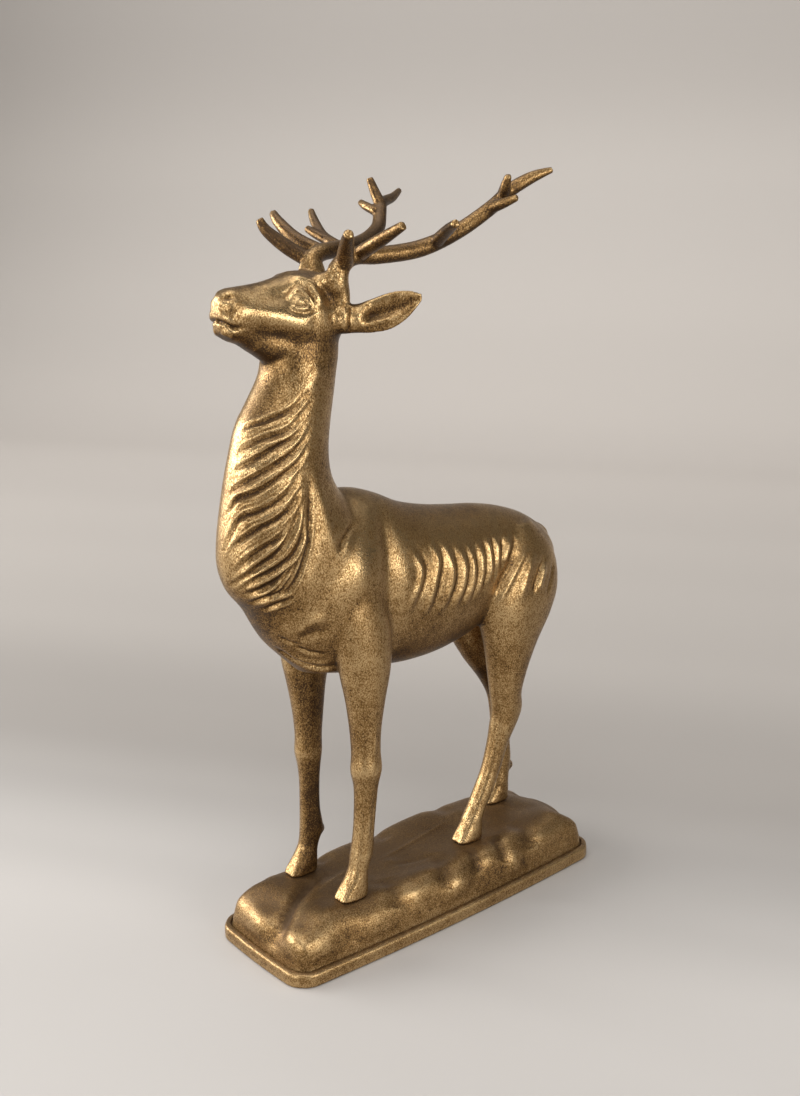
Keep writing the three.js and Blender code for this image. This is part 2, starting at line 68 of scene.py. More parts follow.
headRows = limbRows(0, [
    [0, -39.5, 247, 4, 4, 5], [0, -42.5, 247, 8.6, 10, 10], [0, -47.5, 246.5, 11.4, 14.4, 15],
    [0, -53, 246, 12.6, 16, 18], [0, -60, 247, 12.3, 15, 19.4], [0, -66, 247.5, 10.6, 12.7, 18.6],
    [0, -71.5, 248, 8.9, 10.9, 16.6], [0, -77, 248.2, 7.6, 9.9, 13.2], [0, -82.5, 248.2, 7, 9.3, 9.9, 1.15],
    [0, -86.4, 248.3, 6.8, 8.7, 8.6, 1.3], [0, -88.8, 248.5, 6, 7.3, 7, 1.3],
    [0, -90.2, 248.6, 4.4, 5.5, 5.2, 1.15], [0, -90.9, 248.6, 2.2, 2.8, 2.6],
])
legRows = {
    "leftFore": limbRows(90, [
        [12.5, -42, 158, 5, 9, 10], [15, -41.5, 138, 7.2, 12.5, 13.5], [15.4, -40.5, 124, 7.8, 12, 12],
        [15.2, -39.7, 113, 7.4, 10.4, 10.6], [15, -39.6, 102, 6.5, 8, 8], [14.8, -39.6, 90, 5.3, 6.4, 6.3],
        [14.7, -39.4, 80, 4.9, 6, 5.8], [14.7, -39.4, 73.5, 5.2, 6.6, 6.3],
        [14.7, -39.5, 67.5, 4.3, 5.2, 4.9], [14.6, -40, 60, 3.7, 5, 4.3], [14.6, -41.2, 48, 3.5, 5, 3.8],
        [14.6, -42.3, 39, 3.9, 5.2, 4.2], [14.6, -43.4, 33.5, 3.8, 3.9, 4], [14.5, -44.8, 29, 4.2, 4, 4.6],
    ]),
    "rightFore": limbRows(90, [
        [-12.5, -43, 158, 5, 9, 10], [-15, -43.5, 138, 7.2, 12.5, 13.5], [-15.4, -44.5, 124, 7.8, 12, 12],
        [-15.2, -45, 113, 7.4, 10.4, 10.6], [-15, -45.2, 102, 6.5, 7.9, 8], [-14.8, -45, 90, 5.3, 6.4, 6.3],
        [-14.7, -45, 80, 4.8, 5.4, 5.5], [-14.7, -45, 73.5, 5, 5.3, 5.9], [-14.7, -45, 67.5, 4.2, 4.7, 4.7],
        [-14.6, -45.1, 60, 3.6, 4.2, 4.1], [-14.6, -45.2, 48, 3.5, 4.4, 4.1],
        [-14.6, -45, 39, 3.9, 5.6, 4.5], [-14.6, -46, 33.5, 3.8, 4.1, 4.1],
        [-14.5, -47.6, 29, 4.2, 4.3, 4.8],
    ]),
    "leftHind": limbRows(90, [
        [6.5, 47, 157, 5.5, 9, 9], [8.8, 47, 144, 9, 20, 18], [10.2, 46, 129, 10.5, 23, 21],
        [10.6, 44, 117, 9.8, 20.8, 17], [11, 43, 106, 8.4, 13.8, 13.4], [11, 41.5, 95, 7, 10, 10],
        [11, 40.6, 84, 5.6, 7.6, 7.6], [11, 41, 76.5, 5, 8.2, 7], [10.7, 39.6, 70.5, 4.8, 7.4, 6.2],
        [10.3, 37, 62, 4.1, 5.2, 4.8], [10, 33.4, 51, 3.7, 4.7, 4.2], [9.8, 29.3, 42, 4, 4.6, 4.2],
        [9.6, 25.8, 35.5, 3.9, 4.3, 4], [9.5, 23, 30, 4.3, 4.6, 4.6],
    ]),
    "rightHind": limbRows(90, [
        [-6.5, 47, 157, 5.5, 9, 9], [-8.8, 47.5, 144, 9, 18.5, 18], [-10.2, 47, 129, 10.3, 18, 22.4],
        [-10.4, 45, 117, 9.6, 16.4, 19.4], [-10.4, 44.5, 106, 8.4, 14, 15], [-10.4, 48.6, 94, 7, 11, 11.3],
        [-10.3, 54, 84, 5.6, 8.4, 8.6], [-10.2, 58, 76.5, 5, 8.4, 7.6], [-10.2, 59.4, 70.5, 4.8, 7.4, 6.4],
        [-10.2, 59.4, 62, 4.1, 5, 5.1], [-10.2, 59.6, 51, 3.7, 4.4, 4.6], [-10.2, 60.2, 41, 4, 4.6, 4.6],
        [-10.1, 59.6, 35.5, 3.9, 4.2, 4.3], [-10, 58.6, 30, 4.3, 4.4, 4.8],
    ]),
}
tailRows = [  # the full rows, as the lean changes along the tail
    [0, 65.6, 151, 60, 3.4, 3, 4, 1], [0, 70.9, 148.4, 75, 3, 2.4, 3, 1],
    [0, 73.4, 145, 90, 2.3, 1.6, 2, 1], [0, 73.8, 141, 90, 1.3, 0.9, 1.2, 1],
]
joints = [  # [centre, radii]: the feet of the antlers, then the backs of the fetlocks
    [(10.8, -47.4, 258), (3.3, 4.2, 5.4)], [(-10.6, -44.4, 258), (3.3, 4.2, 5.4)],
    [(10.4, -45.8, 253), (3.4, 3.4, 4.6)], [(-10.4, -43, 253), (3.4, 3.4, 4.6)],
    [(8.2, -51.5, 258.6), (3.2, 4.6, 3.2)], [(-8.2, -48.5, 258.6), (3.2, 4.6, 3.2)],
    [(-14.6, -41, 37.6), (2.2, 3, 2.4)], [(14.6, -38.9, 38.4), (2.2, 2.4, 2.6)],
    [(-10.1, 64, 36.2), (2.4, 3.4, 2.6)], [(9.6, 30.4, 38), (2.3, 2.4, 2.6)],
]
hoofPlaces = [(14.5, -46.2), (-14.5, -49.2), (9.5, 21.4), (-10, 57)]

# The antlers: [x, y, z, radius] along each branch. The cast ones aren't quite mirror images.
leftAntler = {
    "beam": [
        [9.5, -46.2, 254, 4.2], [10, -47, 260.5, 3.9], [11, -44.6, 265, 3.3], [11.5, -39.5, 267.2, 3.1],
        [13, -30, 267.2, 3], [17.5, -15, 269.3, 3], [24.5, -3, 275.3, 2.7], [31, 7.5, 283.7, 2.5],
        [34.5, 13, 289.5, 2.4], [38.5, 20, 294, 2], [42, 26.5, 296.6, 1],
    ],
    "burr": [
        [9.4, -48.6, 257.2, 1.2], [10.4, -49, 260.4, 2.6], [11.4, -47.8, 263.6, 2.2],
        [11.8, -46.4, 265.4, 1.2],
    ],
    "brow": [[11.6, -45, 264.6, 3.1], [18.5, -49.2, 271, 2.5], [25, -53.4, 275, 1.6]],
    "bez": [[11.5, -39, 267.4, 2.6], [25, -39.8, 272.6, 2.3], [36.6, -39.4, 277.6, 1.5]],
    "trez": [[20, -10, 271.2, 2.4], [30, -13.4, 275.6, 2], [38.6, -17.2, 278.2, 1.4]],
    "spike": [[33, 10.4, 286.4, 2.1], [36, 9, 290.6, 1.8], [38.4, 8, 294.4, 1.1]],
    "spur": [[30.5, 6.4, 283, 2], [37, 7.4, 285, 1.7], [42.6, 8.4, 286.9, 1.1]],
}
rightAntler = {
    "beam": [
        [-9.5, -42.4, 254, 4.6], [-9.8, -42.4, 260.5, 4.4], [-10.8, -41.8, 265, 3.6],
        [-11.7, -37.6, 267.5, 3.1], [-14, -28.5, 268.6, 3], [-17.5, -18, 269.5, 2.9],
        [-22.5, -6.2, 272, 2.9], [-27, 2.6, 276.2, 2.7], [-31, 7, 281.6, 2.5], [-34, 10.6, 285.4, 2.2],
        [-38, 19.4, 287.6, 1.7], [-42, 26.4, 290.4, 1.1],
    ],
    "burr": [
        [-9.4, -45, 257.4, 1.2], [-10.4, -45.4, 260.4, 2.4], [-11.2, -44.6, 263.6, 2],
        [-11.6, -43.6, 265.4, 1.2],
    ],
    "brow": [
        [-12, -42.2, 264.8, 2.6], [-18, -48.1, 269.8, 2.6], [-23, -53.2, 275.4, 2],
        [-25, -54.8, 279.4, 1.4],
    ],
    "bez": [[-12, -36.6, 268, 2.5], [-23, -40, 272.2, 2.6], [-32, -41, 278, 2.1], [-37, -40.2, 281.6, 1.4]],
    "trez": [
        [-17, -26, 269.6, 2.4], [-27, -24.4, 273, 2], [-35, -22.2, 278.2, 1.7], [-40, -20.2, 282.4, 1.2],
    ],
    "twig": [[-23, -25.6, 271.6, 1.8], [-29, -26.4, 273.8, 1.6], [-34, -26.8, 275.8, 1.3]],
    "spike": [[-33, 8.7, 285, 2.2], [-36, 8.6, 289.4, 1.9], [-38.6, 8, 294.8, 1.3]],
    "spur": [[-31, 5.4, 282, 1.9], [-38, 5.4, 284.2, 1.6], [-43, 6.9, 285.6, 1.2]],
}

burrKnobs = [  # [amount, centre, radii] on the ruff round each antler's foot
    [0.5, (12.6, -51.2, 259.6), (0.9, 0.9, 0.9)], [0.45, (13.6, -49.6, 261), (0.9, 0.9, 0.9)],
    [0.5, (13.4, -50.2, 263.2), (0.9, 0.9, 1)], [0.45, (14.2, -47.6, 264), (0.9, 0.9, 0.9)],
    [0.4, (12.6, -50.6, 265), (0.9, 0.9, 1)], [-0.5, (13, -50.6, 262.2), (0.8, 0.8, 0.8)],
]

# What a user would change about the stag's casting
stagCasting = {
    "voxel": 0.45,          # mm, how fine the joined skin is
    "blendSteps": 26,       # rounds of smoothing where limbs meet
    "tipSteps": 3,          # rounds of smoothing on antlers and hooves
    "swell": 0.28,          # mm, given back to what the smoothing draws in
    "triangles": 190000,
}


def smoothStep(low, high, value):
    # 3t^2 - 2t^3 with t the share of the way from low to high
    t = np.clip((value - low) / (high - low), 0, 1)
    return t * t * (3 - 2 * t)


def runThrough(rows, u):
    # Cubic pieces through the rows, with the slope at a row half the step between its neighbours
    rows = np.asarray(rows, float)
    at = np.clip(u, 0, 1) * (len(rows) - 1)
    i = np.minimum(at.astype(int), len(rows) - 2)
    f = (at - i)[:, None]
    last = len(rows) - 1
    a, b, c, d = (rows[np.clip(i + k, 0, last)] for k in (-1, 0, 1, 2))
    slopeIn = (c - a) / 2
    slopeOut = (d - b) / 2
    bend = 3 * (c - b) - 2 * slopeIn - slopeOut
    twist = 2 * (b - c) + slopeIn + slopeOut
    return b + f * (slopeIn + f * (bend + f * twist))


def closeSkin(grid):
    # A grid of rings by sides becomes quads, with a fan to the middle of the first ring and of the last
    rings, sides = grid.shape[:2]
    points = np.concatenate([grid.reshape(-1, 3), [grid[0].mean(0)], [grid[-1].mean(0)]])
    r, s = np.meshgrid(np.arange(rings - 1), np.arange(sides), indexing="ij")
    n = (s + 1) % sides
    here, beyond = r * sides, (r + 1) * sides
    quads = np.stack([here + s, here + n, beyond + n, beyond + s], -1).reshape(-1, 4)
    k = np.arange(sides)
    after = (k + 1) % sides
    start = np.stack([np.full(sides, rings * sides), after, k], -1)
    top = (rings - 1) * sides
    end = np.stack([np.full(sides, rings * sides + 1), top + k, top + after], -1)
    tris = np.concatenate([start, end])
    tris = np.concatenate([tris, quads[:, [0, 1, 2]], quads[:, [0, 2, 3]]])
    a, b, c = (points[tris[:, j]] for j in range(3))
    if np.einsum("ij,ij->", a, np.cross(b, c)) < 0:
        tris = tris[:, ::-1]
    return points, tris


def limbSkin(rows, sides, rings):
    # Centre of the row, plus half width times sine to the side, plus reach times cosine along the back line,
    # which leans from upright by the row's lean
    u = np.linspace(0, 1, rings)
    a = np.linspace(0, 2 * math.pi, sides, endpoint=False)[None, :]
    x, y, z, lean, half, back, belly, roundness = (v[:, None] for v in runThrough(rows, u).T)
    rise = np.cos(a)
    side = np.sign(np.sin(a)) * np.abs(np.sin(a)) ** (1 / roundness) * half
    up = np.sign(rise) * np.abs(rise) ** (1 / roundness) * np.where(rise > 0, back, belly)
    tilt = np.radians(lean)
    grid = np.stack([x + side, y + up * np.sin(tilt), z + up * np.cos(tilt)], -1)
    return closeSkin(grid)


def branchSkin(path, sides=20, ringsEach=9):
    # Circles of the running radius, square to the smooth path, in a frame kept level as it goes
    u = np.linspace(0, 1, (len(path) - 1) * ringsEach)
    run = runThrough(path, u)
    centre, radius = run[:, :3], run[:, 3:4]
    ahead = np.gradient(centre, axis=0)
    ahead /= np.linalg.norm(ahead, axis=1, keepdims=True)
    across = np.cross([0, 0, 1.0], ahead)
    steep = np.abs(ahead[:, 2:3]) > 0.95
    across = np.where(steep, np.cross([1.0, 0, 0], ahead), across)
    across /= np.linalg.norm(across, axis=1, keepdims=True)
    up = np.cross(ahead, across)
    a = np.linspace(0, 2 * math.pi, sides, endpoint=False)
    circle = np.cos(a)[None, :, None] * across[:, None] + np.sin(a)[None, :, None] * up[:, None]
    return closeSkin(centre[:, None] + circle * radius[:, None])


def eggSkin(centre, radii, sides=28, rings=18):
    # An ellipsoid: latitude rings of cosine width, from pole to pole
    lat = np.linspace(-math.pi / 2 + 0.06, math.pi / 2 - 0.06, rings)[:, None]
    lon = np.linspace(0, 2 * math.pi, sides, endpoint=False)[None, :]
    ball = np.stack([np.cos(lat) * np.cos(lon), np.cos(lat) * np.sin(lon), np.sin(lat) + 0 * lon], -1)
    return closeSkin(np.asarray(centre, float) + ball * np.asarray(radii, float))


def clawSkin(x, y, side):
    # One claw of a hoof: a short limb that narrows upwards from a pointed sole
    sole = 21.8
    rows = [
        [x + side * 1.75, y, sole, 2.75, 5.2, 7.6, 1.15],
        [x + side * 1.75, y + 0.3, sole + 1.6, 2.75, 5, 7, 1.15],
        [x + side * 1.6, y + 1.1, sole + 5, 2.6, 4.6, 5.4, 1.1],
        [x + side * 1.4, y + 2, sole + 8.4, 2.4, 3.8, 3.9],
        [x + side * 1.2, y + 2.4, sole + 11, 2, 3, 3],
    ]
    return limbSkin(limbRows(90, rows), 28, 28)


def wedgeSkin(x, y):
    # The filling between the claws: a limb that stops just short of their fronts, which leaves a thin cleft
    rows = [
        [x, y, 21.8, 3.3, 5, 7.5, 1.2], [x, y + 0.3, 23.4, 3.3, 4.8, 6.95, 1.2],
        [x, y + 1.1, 26.8, 3.1, 4.4, 5.4, 1.1], [x, y + 2, 31.5, 2.9, 3.6, 3.9],
    ]
    return limbSkin(limbRows(90, rows), 28, 24)


earRows = [  # [x, y, z, tall, thick] along the ear, from its root to its tip
    [9, -47.6, 245.8, 5, 4], [12, -45.6, 245.8, 5.2, 3.8], [15.6, -42.8, 245.9, 4.9, 3.5],
    [19.6, -38.9, 246.9, 5.8, 3.4], [23.6, -34, 248.6, 6.3, 2.9], [27, -29, 250.8, 4.7, 2.2],
    [29.6, -24.6, 253.2, 1.1, 0.9],
]


def earSkin(side):
    # A leaf: tall times cosine upwards and, behind, thick times sine outwards; in front, a dish between rims
    u = np.linspace(0, 1, 70)
    a = np.linspace(0, 2 * math.pi, 56, endpoint=False)[None, :]
    x, y, z, tall, thick = (v[:, None] for v in runThrough(earRows, u).T)
    s, c = np.sin(a), np.cos(a)
    dished = smoothStep(0.34, 0.52, u)[:, None]
    rim = np.abs(c)
    fold = 0.30 * np.exp(-(((c + 0.42) / 0.16) ** 2)) * (1 - smoothStep(0.6, 0.85, u))[:, None]
    dish = thick * (0.42 * np.sin(np.clip(rim, 0, 1) * math.pi) ** 0.7 - 0.52 * (1 - rim ** 2) + fold)
    front = thick * s * (1 - dished) + dish * dished
    out = np.where(s > 0, front, thick * s)
    normal = np.array([0.77, -0.64, 0.0])
    grid = np.stack([x + normal[0] * out, y + normal[1] * out, z + tall * c], -1)
    grid[..., 0] *= side
    return closeSkin(grid)


def joinSkins(skins):
    # Points end to end, with each skin's faces moved on by the points before it
    counts = np.cumsum([0] + [len(p) for p, _ in skins])
    return np.concatenate([p for p, _ in skins]), np.concatenate([t + n for (_, t), n in zip(skins, counts)])


def meshFromArrays(name, points, faces):
    # A mesh of the points, from mm to metres, with a face for each row of point numbers
    mesh = bpy.data.meshes.new(name)
    sides = faces.shape[1]
    mesh.vertices.add(len(points))
    mesh.loops.add(faces.size)
    mesh.polygons.add(len(faces))
    mesh.vertices.foreach_set("co", (points * mm).astype(np.float32).ravel())
    mesh.loops.foreach_set("vertex_index", faces.astype(np.int32).ravel())
    mesh.polygons.foreach_set("loop_start", np.arange(0, faces.size, sides, dtype=np.int32))
    mesh.update(calc_edges=True)
    mesh.validate()
    return mesh


def pointsOf(mesh):
    # The mesh's vertices in mm
    co = np.empty(len(mesh.vertices) * 3, np.float32)
    mesh.vertices.foreach_get("co", co)
    return co.reshape(-1, 3).astype(float) / mm


def bakeModifiers(piece):
    # The piece keeps the mesh that its modifiers make
    done = bpy.data.meshes.new_from_object(piece.evaluated_get(bpy.context.evaluated_depsgraph_get()))
    piece.modifiers.clear()
    old = piece.data
    piece.data = done
    bpy.data.meshes.remove(old)
    return piece


def newPiece(name, mesh):
    # The mesh as an object of the scene
    piece = bpy.data.objects.new(name, mesh)
    bpy.context.scene.collection.objects.link(piece)
    return piece


class Surface:
    # The arrays of a closed mesh: points, edges and normals, with the few operations that carving needs
    def __init__(self, mesh):
        self.points = pointsOf(mesh)
        edges = np.empty(len(mesh.edges) * 2, np.int32)
        mesh.edges.foreach_get("vertices", edges)
        self.edges = edges.reshape(-1, 2)
        loops = np.empty(len(mesh.loops), np.int32)
        mesh.loops.foreach_get("vertex_index", loops)
        mesh.calc_loop_triangles()
        tris = np.empty(len(mesh.loop_triangles) * 3, np.int32)
        mesh.loop_triangles.foreach_get("vertices", tris)
        self.tris = tris.reshape(-1, 3)
        self.count = np.bincount(self.edges.ravel(), minlength=len(self.points)).astype(float)

    def around(self, values):
        # The mean of a value over each point's neighbours
        a, b = self.edges.T
        n = len(self.points)
        total = np.bincount(a, values[b], n) + np.bincount(b, values[a], n)
        return total / np.maximum(self.count, 1)

    def soften(self, values, rounds):
        # Each round moves a value half way to the mean of its neighbours
        for _ in range(rounds):
            values = values + 0.5 * (self.around(values) - values)
        return values

    def relax(self, rounds, weight):
        # Each round moves a point half way to the mean of its neighbours, times its weight
        for _ in range(rounds):
            mean = np.stack([self.around(self.points[:, k]) for k in range(3)], 1)
            self.points += 0.5 * weight[:, None] * (mean - self.points)

    def normals(self):
        # Sums of the crossed edges of the triangles at each point, made one long
        a, b, c = (self.points[self.tris[:, k]] for k in range(3))
        cross = np.cross(b - a, c - a)
        n = len(self.points)
        total = np.stack(
            [sum(np.bincount(self.tris[:, j], cross[:, k], n) for j in range(3)) for k in range(3)], 1)
        return total / np.maximum(np.linalg.norm(total, axis=1, keepdims=True), 1e-12)


def smoothLine(line, step=0.8):
    # The line's points joined by cubic pieces, with a point each step or so
    line = np.asarray(line, float)
    length = np.linalg.norm(np.diff(line[:, :3], axis=0), axis=1).sum()
    return runThrough(line, np.linspace(0, 1, max(int(length / step), 3)))


def distanceTo(points, line):
    # Shortest distance from each point to the line, and the share of the way along it where that is
    a, b = line[:-1], line[1:]
    way = b - a
    t = np.einsum("pks,ks->pk", points[:, None] - a[None], way) / np.maximum((way ** 2).sum(1), 1e-9)
    t = np.clip(t, 0, 1)
    gap = np.linalg.norm(points[:, None] - (a[None] + t[..., None] * way[None]), axis=2)
    k = gap.argmin(1)
    rows = np.arange(len(points))
    return gap[rows, k], (k + t[rows, k]) / len(way)


class Carver:
    # Adds lines and lumps to a height over a surface, which apply gives it once. Lines are laid on it first.
    # When it is mirrored, the right side is folded onto the left one.
    def __init__(self, surface, mirrored=True):
        self.surface = surface
        self.height = np.zeros(len(surface.points))
        self.folded = surface.points.copy()
        if mirrored:
            self.folded[:, 0] = np.abs(self.folded[:, 0])

    def near(self, line, reach, only=None):
        # The numbers of the points inside the line's box, widened by the reach
        low, high = line.min(0) - reach, line.max(0) + reach
        inside = ((self.folded > low) & (self.folded < high)).all(1)
        if only is not None:
            inside &= only
        return np.nonzero(inside)[0]

    def laid(self, line, only=None):
        # Each point of the line goes to the mean of the surface's points, each weighed by e^-(extra / 0.7),
        # where the extra is its squared distance less that of the nearest one
        line = smoothLine(line)
        pool = self.near(line, 7.0, only)
        if len(pool) == 0:
            return line
        spots = self.folded[pool[::3]]
        gaps = ((line[:, None] - spots[None]) ** 2).sum(2)
        weight = np.exp((gaps.min(1, keepdims=True) - gaps) / 0.7)
        return weight @ spots / weight.sum(1, keepdims=True)

    def stroke(self, amount, width, line, ends=0.22, lip=0.0, only=None):
        # amount times e^-(d/width)^2, fading over the ends; a lip is the same bell set a little off the line
        line = self.laid(line, only)
        pool = self.near(line, 3.2 * width, only)
        if len(pool) == 0:
            return
        gap, share = distanceTo(self.folded[pool], line)
        fade = smoothStep(0, ends, share) * smoothStep(0, ends, 1 - share)
        bell = amount * np.exp(-((gap / width) ** 2))
        if lip:
            bell = bell - amount * lip * np.exp(-(((gap - 1.9 * width) / width) ** 2))
        self.height[pool] += bell * fade

    def lump(self, amount, centre, radii, only=None):
        # amount times e^-(the squared share of the radii)
        centre = np.asarray(centre, float)
        radii = np.broadcast_to(np.asarray(radii, float), 3)
        pool = self.near(np.stack([centre - 1.6 * radii, centre + 1.6 * radii]), radii.max() * 0.6, only)
        off = (self.folded[pool] - centre) / radii
        self.height[pool] += amount * np.exp(-(off ** 2).sum(1))

    def apply(self):
        # Each point moves along its normal by its height
        self.surface.points += self.surface.normals() * self.height[:, None]


# Carving in mm: [amount, width, points on the left side, which the right side repeats].
# Amounts below 0 cut in.
ribCrests = [
    [(16.7, -20.4, 160.3), (18.7, -16.2, 152.8), (19.4, -16, 147.6), (19.5, -19.4, 140.4), (19, -22.5, 134)],
    [
        (15.8, -9.4, 160.2), (18.1, -6.3, 153.5), (19.6, -8.4, 145.6), (19.5, -11.7, 136.1),
        (18.5, -13.4, 130.9),
    ],
    [(16, -1.8, 158.3), (18.5, 0.4, 151.1), (19.6, 0.4, 143.9), (19.4, -2.8, 135.7), (18.4, -6.3, 130)],
    [(16.2, 5.1, 156.5), (18.4, 7.7, 149.1), (19.3, 7, 141.9), (19.3, 4.4, 135.6), (18.6, 1.6, 130)],
    [(15.7, 11.9, 156), (17.9, 12.7, 148.8), (18.7, 12.5, 141.4), (18.6, 10.5, 134.9), (18, 8.5, 130)],
    [(14.6, 17.6, 156.8), (17, 18.6, 150.3), (18.1, 18.2, 143.7), (18.2, 16.3, 137.1), (17.6, 14.6, 132)],
    [(14, 23.7, 156.4), (16, 23.7, 151.3), (17.4, 23.5, 142.5), (17.3, 22.4, 136)],
    [(13.7, 29.6, 155.4), (15.5, 29, 150.9), (16.7, 27.9, 144.4), (16.8, 26.8, 139)],
    [(13.6, 36.5, 154.2), (15, 36.2, 150.3), (16, 33.3, 146.1), (16.2, 31.6, 143)],
]
muscleLines = [
    [-1, 1.3, [(18.6, -55.4, 163.6), (17.3, -50.6, 168.9), (13.6, -43.6, 172.2)]],
    [
        0.4, 2.8,
        [(15.3, -62.2, 197), (16.3, -61, 189), (17.1, -59.4, 180), (18.3, -58, 169), (18.6, -57, 159)],
    ],
    [
        -0.85, 2.2,
        [
            (15.3, -66.2, 196), (15.9, -65, 185), (17.2, -65, 175), (17.2, -67, 165), (16, -70.4, 157),
            (15.5, -74.4, 150.5),
        ],
    ],
    [
        -1.15, 3.7,
        [(9, -29, 177), (14, -30, 168), (19.5, -31.6, 153), (19.2, -31.2, 139.6), (16.5, -27.5, 122)],
    ],
    [0.9, 1.5, [(16.7, 47.2, 149), (18, 38.7, 141.5), (17.6, 32.6, 133), (15.5, 28.4, 124.5)]],
    [-1, 2.4, [(16.6, 41.4, 147), (17.5, 33.4, 139), (16, 27.4, 131)]],
    [1.2, 2.3, [(17.4, 50.1, 147), (19, 44.4, 140), (19.6, 40.6, 133), (19.4, 37, 125.5)]],
    [-0.9, 1.3, [(16.8, 55.7, 143.5), (19.5, 49, 135.5), (20.6, 44.6, 128)]],
    [0.9, 1.8, [(17.6, 55, 141), (19.5, 51.5, 135), (20.4, 48, 129)]],
    [-0.6, 1.4, [(15.5, 62, 140), (17.5, 58, 133), (18.5, 53, 126)]],
    [-1.9, 1.1, [(3.5, -73, 128.8), (4.9, -66, 122), (8.6, -57.5, 118), (14, -52, 117)]],
    [0.7, 1.2, [(5.5, -71.5, 130), (7, -65, 124.5), (10.5, -57.5, 121), (15, -52.5, 119.6)]],
    [-0.8, 0.9, [(9.5, -69.6, 130.4), (12, -63.5, 126.2), (15.4, -57.5, 123.4)]],
    [-0.7, 0.9, [(7.5, -74.6, 134.4), (10.6, -71, 130.6), (13.4, -66.4, 128.6)]],
    [0.7, 2.2, [(12.5, -71, 135.5), (16, -65.6, 139.3), (18.2, -59, 140.3)]],
    [-0.6, 1.8, [(11.5, -70, 131.5), (15.5, -64, 134.5), (18.5, -57, 135)]],
    [0.6, 3.2, [(12.4, -64, 220), (12.2, -59.4, 226), (11.9, -55.8, 230)]],
    [0.4, 1, [(19.5, -39, 98), (19.2, -39, 88), (19, -39.6, 79)]],
    [-0.35, 0.9, [(18, -38, 66), (17.8, -38.8, 54), (18, -40.4, 43)]],
]
muscleLumps = [  # [amount, centre, radii]
    [1.8, (20.5, -46.4, 155), (8, 9, 14)], [0.9, (19.5, -22.5, 147), (6, 5, 13)],
    [0.6, (18.7, -41, 75.5), (4, 5, 4.5)], [0.7, (18, 40, 122), (5, 7, 8)],
]
faceLumps = [  # [amount, centre, radii], the eye's socket and nostrils first
    [-1.2, (9.6, -64.5, 254), (4.6, 5.2, 3.8)], [-0.9, (6.9, -71, 254.4), (3.6, 4.6, 3.2)],
    [-1.8, (3.9, -87.4, 254.4), (1.5, 2.4, 0.95)], [-0.65, (4.9, -89, 250.6), (1.7, 2.2, 1.7)],
    [-0.9, (11, -51.2, 253), (3.4, 3.4, 4.4)], [-0.95, (8.4, -71, 241), (4, 8, 3.4)],
    [-1.3, (4.8, -87.2, 244.7), (1.9, 3.4, 0.9)],
]
eyeBall = [0.9, (9.9, -63.4, 253.2), (3, 2.5, 1.8)]
faceLines = [  # [amount, width, points]
    [
        -0.5, 0.9,
        [
            (7.9, -68.5, 252.5), (7.3, -66.5, 255.4), (6.9, -62.8, 257.5), (8.2, -59.8, 257),
            (10.4, -58.3, 254.4), (12.2, -57, 250.5),
        ],
    ],
    [
        -0.5, 0.8,
        [
            (8.9, -68.3, 250.8), (10.1, -66.1, 249.1), (11.3, -63.4, 248.4), (12.4, -60, 248.7),
            (12.4, -57.1, 249.6),
        ],
    ],
    [
        0.95, 2.3,
        [
            (5.3, -64.4, 259.7), (6.7, -61.1, 260.2), (8.6, -58.3, 259.5), (10.1, -57, 257.1),
            (11.3, -56.2, 253.8), (12.2, -54.8, 249.8),
        ],
    ],
    [
        1.1, 3.9,
        [
            (6.1, -86.9, 251.6), (7.3, -81.8, 249.6), (8.5, -75.9, 248.2), (10.2, -69.7, 246.4),
            (12.2, -64.2, 244.4), (13, -59.1, 243.2),
        ],
    ],
    [-0.5, 2.6, [(6.4, -83, 243.6), (6.9, -75.2, 242), (8.6, -68.4, 240.4), (10.2, -62.8, 237.6)]],
    [0.4, 2.2, [(2.5, -80.5, 238.3), (4.5, -74.8, 235.8), (7, -68.8, 235), (10.2, -62.9, 237)]],
    [-1.2, 0.7, [(-1.5, -90.6, 246.6), (1.2, -90.6, 246.6), (4.2, -89.4, 246), (6.6, -85.4, 243.2)]],
    [0.4, 1.1, [(1.5, -90.2, 243), (3, -89.2, 242.2), (5, -86.8, 241.6)]],
    [0.2, 1.2, [(2, -90.8, 248.4), (4, -90.2, 248.4), (6.6, -87.4, 246.6)]],
    [
        -0.9, 0.75,
        [
            (14.2, -45.6, 250.6), (15.6, -46.6, 248.6), (16.1, -47.2, 245.9), (15.6, -46.6, 243.2),
            (14.2, -45.6, 241.1),
        ],
    ],
]
lidLines = [
    [
        0.75, 0.6,
        [
            (8.4, -67.1, 252.4), (9.4, -66.4, 255.2), (8.7, -63.4, 256.6), (10, -61.6, 255.9),
            (11.1, -60, 253.6), (12, -58.4, 250.5),
        ],
    ],
    [0.7, 0.55, [(9.3, -66.4, 251.2), (10.6, -65, 250.3), (11.5, -62.8, 250), (12, -59.6, 250.6)]],
]
